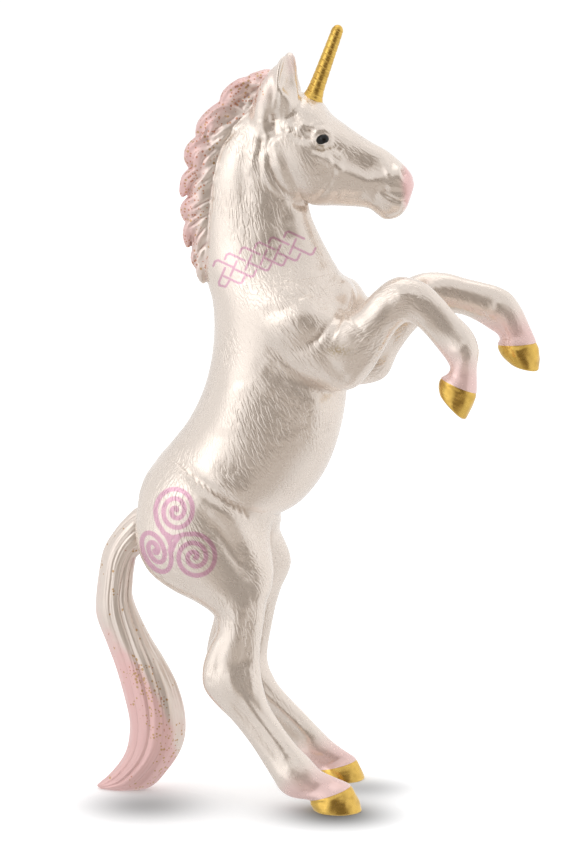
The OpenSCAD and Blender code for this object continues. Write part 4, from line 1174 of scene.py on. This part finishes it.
def blushOf(points):
    # Pink over the pasterns, the front of the muzzle and inside the ears, fading out.
    pink = np.zeros(len(points))
    for (x, z), y, down in coronets:
        away = points - np.array([x, y, z])
        up = -(away[:, 0] * down[0] + away[:, 2] * down[1])
        near = 1 - ease(lengthOf(away), *pinks["round"])
        pink = np.maximum(pink, 0.75 * (1 - ease(up, *pinks["up"])) * near)
    x, y = toPhoto(points).T
    snout = ease(x - 0.12 * np.abs(y - 183), *pinks["snout"]) * (1 - ease(y, *pinks["lip"]))
    middle, reach = pinks["inner"]
    inner = 0.35 * bell((x - middle) / reach) * (1 - ease(y, *pinks["innerDown"]))
    crown = 0.3 * (1 - ease(y, *pinks["crownDown"])) * (1 - ease(x, *pinks["crown"]))
    return np.clip(np.maximum(pink, 1.25 * snout) + inner + crown, 0, 1)


# Printed pattern: a triple spiral on the haunch and a plait band round the neck, as strokes of
# photograph pixels. Each spiral: middle, half width, half height, shear and the angle where it
# starts at its rim. The plait repeats three strokes from each start. The boxes hold each part.
pattern = dict(
    spirals=[((176, 510.7), 20.6, 24.0, 0.0, 180), ((154.9, 549.9), 15.2, 24.2, 0.31, 0),
             ((194.6, 556.9), 22.7, 23.1, 0.04, 270)],
    turns=2.4, core=0.05, half=2.35, box=(130, 480, 225, 590),
    joins=[[(155.4, 511), (156.2, 518), (158.3, 524.2), (164.2, 533.3), (171.7, 537.5), (177, 536.7),
            (184, 534.4), (194.6, 533.8)],
           [(166, 535), (169, 540), (171, 546), (170.2, 551)], [(179, 537), (174.5, 543), (171.6, 551)]],
    starts=[(216.7, 260), (228.3, 253.3), (243.3, 247.1), (258.3, 242.1), (272.1, 237.1), (287.5, 231.3)],
    plait=[[(-3.4, 5.9), (-1.7, 1.5), (1.2, 0.2), (16.6, 7.4)], [(8.4, 7.9), (2.2, 22.4)],
           [(7.2, 16.2), (22.6, 23.4), (25.2, 22.6), (28, 16.8)]],
    end=[(218.9, 282.4), (219.4, 285.2), (225.5, 286.8), (229.2, 281)],
    thin=1.15, plaitBox=(205, 222, 322, 295))


def markOf(points):
    # How far each point lies outside the painted strokes, in pixels, below nought inside. A
    # spiral's radius grows evenly with its angle, squeezed and sheared to follow the haunch.
    flat = toPhoto(points)
    far = np.full(len(points), 9.0)
    t = np.linspace(0, 1, 90)
    reach = pattern["core"] + (1 - pattern["core"]) * t
    wide = list(pattern["joins"])
    for (x, y), halfWide, halfTall, shear, start in pattern["spirals"]:
        turn = radians(start) + 2 * pi * pattern["turns"] * (1 - t)
        down = np.sin(turn) * reach * halfTall
        wide.append(np.stack([x + np.cos(turn) * reach * halfWide + shear * down, y + down], axis=1))
    fine = [np.array(line) + start for start in pattern["starts"] for line in pattern["plait"]]
    fine.append(pattern["end"])
    for lines, half, box in ((wide, pattern["half"], pattern["box"]),
                             (fine, pattern["thin"], pattern["plaitBox"])):
        near = np.flatnonzero(((flat > box[:2]) & (flat < box[2:])).all(axis=1))
        for line in lines:
            far[near] = np.minimum(far[near], nearPath(flat[near], line)[0] - half)
    return far


# Gold overspray on the near upper arm and under the eye, and the black paint round the bead:
# middle and reach in pixels.
spray = dict(arm=((339, 351), (11, 6)), lid=((322, 148), (9, 3.5)), lidShare=0.8)
bead = dict(middle=(322, 139.4), reach=(5.9, 4.9), slant=0.18)


def smudgeOf(points):
    # A bell round each spot, the arm's on the near side only.
    arm, lid = (np.exp(-(((toPhoto(points) - middle) / reach) ** 2).sum(axis=1))
                for middle, reach in (spray["arm"], spray["lid"]))
    return arm * (points[:, 1] < 0) + spray["lidShare"] * lid


def pupilOf(points):
    # One inside an almond, a slanted round, and eased out over its edge.
    x, y = (toPhoto(points) - bead["middle"]).T
    across, down = bead["reach"]
    return np.clip(1.5 - ((x / across) ** 2 + ((y + bead["slant"] * x) / down) ** 2), 0, 1)


def tailValues(points):
    # Pink behind the line where the colours meet and over the tip, and glitter along that line.
    x, y = toPhoto(points).T
    edge = np.interp(y, *np.array(tail["meet"]).T)
    outer = ease(edge - x, -7, 9)
    pink = outer * ease(y, 590, 700) * 0.9 + outer * 0.2 + 0.2 * ease(y, 640, 720)
    near = bell((edge - x - 6) / 13) * (1 - 0.5 * ease(y, 750, 790))
    return dict(blush=np.clip(pink + ease(y, 750, 785), 0, 1), gilt=np.full(len(x), 0.4),
                glitter=0.1 + near * ease(y, 640, 680))


# Hollows, which the paints darken as painted shade: rounds of spreading and the depth in mm that counts as
# one, fine ones and wide ones.
hollows = dict(fine=(3, 0.03), casting=(45, 0.22), mane=(30, 0.16), tail=(30, 0.3))


def dress(name, piece):
    # The values that the paints read at each point of a piece.
    skin = Skin(piece)
    skin.points *= 1.0 if np.abs(skin.points).max() > 1.0 else 1 / mm
    skin.store()
    points = skin.points
    values = dict(hollow=hollowOf(skin, *hollows["fine"]))
    if name in castings:
        lie = np.column_stack([hairFlow(points), np.zeros(len(points))])
        values.update(lie=lie, cover=coverOf(points, name == "head_and_neck"), blush=blushOf(points),
                      mark=markOf(points), smudge=smudgeOf(points), pupil=pupilOf(points))
    elif name == "mane":
        back = behindStrip(points)
        values.update(blush=0.15 + 0.6 * ease(back, 0.3, 4.0), glitter=0.5 + 0.8 * ease(back, 0.8, 3.0))
    elif name == "tail":
        values.update(tailValues(points))
    if len(values) > 1:
        # the wide hollows, which the pearl and hair paints darken as painted shade
        values["dellShade"] = hollowOf(skin, *hollows["casting" if name in castings else name])
    for key, value in values.items():
        kind, slot = ("FLOAT", "value") if value.ndim == 1 else ("FLOAT_VECTOR", "vector")
        data = piece.data.attributes.new(key, kind, "POINT").data
        data.foreach_set(slot, value.astype(np.float32).ravel())
    skin.store(mm)


for pieces, finish, slot in ((castings, pearlPaint(), "pearl_body"),
                             (dict(hooves, horn=hornPiece), goldPaint(), "gold_paint"),
                             (eyePieces, blackGloss(), "black_gloss"),
                             (dict(mane=manePiece, tail=tailPiece), hairPaint(), "pink_hair")):
    for name, piece in pieces.items():
        dress(name, piece)
        piece.data.polygons.foreach_set("use_smooth", np.ones(len(piece.data.polygons), bool))
        piece.data.set_sharp_from_angle(angle=radians(75))
        piece.data.materials.clear()
        piece.data.materials.append(finish)
        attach(piece, "root")
        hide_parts(name)
print("pieces dressed")

# Floor, studio and lights: a light box, white behind the figure and dimmer in front of it. Lamps:
# place and aim in mm, size in metres, power, tint.
studio = dict(floor=(-0.6, -0.21, 0.6, 0.9), floorGlow=0.3, room=(0.86, 1.07), under=0.82, strip=1.33,
              card=0.16, cardTint=(0.95, 0.72, 0.5), roomTint=(0.985, 0.99, 1.0), seen=1.05, aim=(0, 0, 60),
              lamps=dict(key=((-390, -345, 260), 0.25, 0.14, (1.0, 0.995, 0.99)),
                         top=((-60, 40, 520), 0.4, 0.35, (1.0, 1.0, 1.0))))
# Stretches of the wall round the figure, each edge as where it begins and where it is full, in
# degrees right of the camera, and in height.
wall = dict(card=([(-22, -12), (53, 37)], [(0.45, 0.25)]), cardFoot=(0.42, -0.4, -0.12),
            strip=([(-88, -70), (-28, -38)], [(-0.35, -0.1), (0.9, 0.6)]), far=[(55, 80), (-140, -185)],
            below=(-0.1, -0.6))
# painted shadows on the floor under the hooves and the tail, as soft dark spots: x, y, reach across and
# along in mm, strength
shade = [(-25.5, -9, 9.5, 9, 0.56), (4.5, -11.5, 8.5, 7.5, 0.76), (7, 4, 8, 6, 0.5), (-9, -8, 22, 15, 0.13)]

for name, (at, size, power, tint) in studio["lamps"].items():
    light = bpy.data.lights.new(name, "AREA")
    light.shape, light.size, light.size_y, light.energy, light.color = "RECTANGLE", size, size, power, tint
    at, aim = Vector(at) * mm, Vector(studio["aim"]) * mm
    facing = (at - aim).to_track_quat("Z", "Y").to_matrix().to_4x4()
    added(name, light).matrix_world = Matrix.Translation(at) @ facing
floorMesh = bpy.data.meshes.new("floor")
west, south, east, north = studio["floor"]
corners = [(west, south, 0), (east, south, 0), (east, north, 0), (west, north, 0)]
floorMesh.from_pydata(corners, [], [(0, 1, 2, 3)])
floorPiece = added("floor", floorMesh)
floorBoard = Board("floorWhite")
floorSpot = floorBoard.place()
dark, growth = 0.0, 2.718    # each spot is a bell: e to the minus square
for x, y, across, along, deep in shade:
    offset = floorBoard.node("ShaderNodeMapping", dict(vector_type="TEXTURE"), floorSpot,
                             Location=(x * mm, y * mm, 0.0), Scale=(across * mm, along * mm, 1.0))
    spread = floorBoard.node("ShaderNodeVectorMath", dict(operation="LENGTH"), offset, out=1)
    dark = dark + growth ** (-1 * spread * spread) * deep
# the floor's colour and its glow, both darkened by the painted shadows
shadowedWhite = floorBoard.node("ShaderNodeCombineColor", None, 1 - dark, 1 - dark, 1 - dark)
floorMesh.materials.append(floorBoard.finish(Base_Color=shadowedWhite, Roughness=0.9, Specular_IOR_Level=0.0,
                                             Emission_Color=shadowedWhite, Emission_Strength=studio["floorGlow"]))
floorPiece.visible_glossy = False
print("floor and lamps set")

world = bpy.context.scene.world = bpy.context.scene.world or bpy.data.worlds.new("studio")
world.use_nodes = True
room = Board(tree=world.node_tree)
wx = room.node("ShaderNodeSeparateXYZ", None, room.node("ShaderNodeTexCoord", out=0))
wy, wz = wx.out(1), wx.out(2)
degreesPerRadian = 57.3
turn = wx.sum("ARCTAN2", wx, wy * -1) * degreesPerRadian - shot["turn"]


def stretch(sides, levels):
    # One within a stretch of the wall, eased out over its edges.
    return prod([room.step(turn, *edge) for edge in sides] + [room.step(wz, *edge) for edge in levels])


# Round the figure: a dark card in front, which bright satin needs to show its form, a tall
# bright strip at the left and a brighter wall at the right.
least, low, high = wall["cardFoot"]
card = stretch(*wall["card"]) * (least + room.step(wz, low, high) * (1 - least))
panel = stretch(*wall["strip"])
right, left = (room.step(turn, *edge) for edge in wall["far"])
dim, bright = studio["room"]
light = (dim + (right + left) * (bright - dim)) * (1 - room.step(wz, *wall["below"]) * (1 - studio["under"]))
light = light + panel * (studio["strip"] - light)
light = light * (1 - card) + card * studio["card"]
tint = room.mix(card, studio["roomTint"], studio["cardTint"])
# the camera itself sees plain white
seen = room.node("ShaderNodeLightPath")
tint = room.mix(seen, tint, (1.0, 1.0, 1.0))
light = light * (1 - seen) + seen * studio["seen"]
room.node("ShaderNodeOutputWorld", None, room.node("ShaderNodeBackground", None, tint, light))
bpy.context.scene.view_settings.view_transform = "Standard"
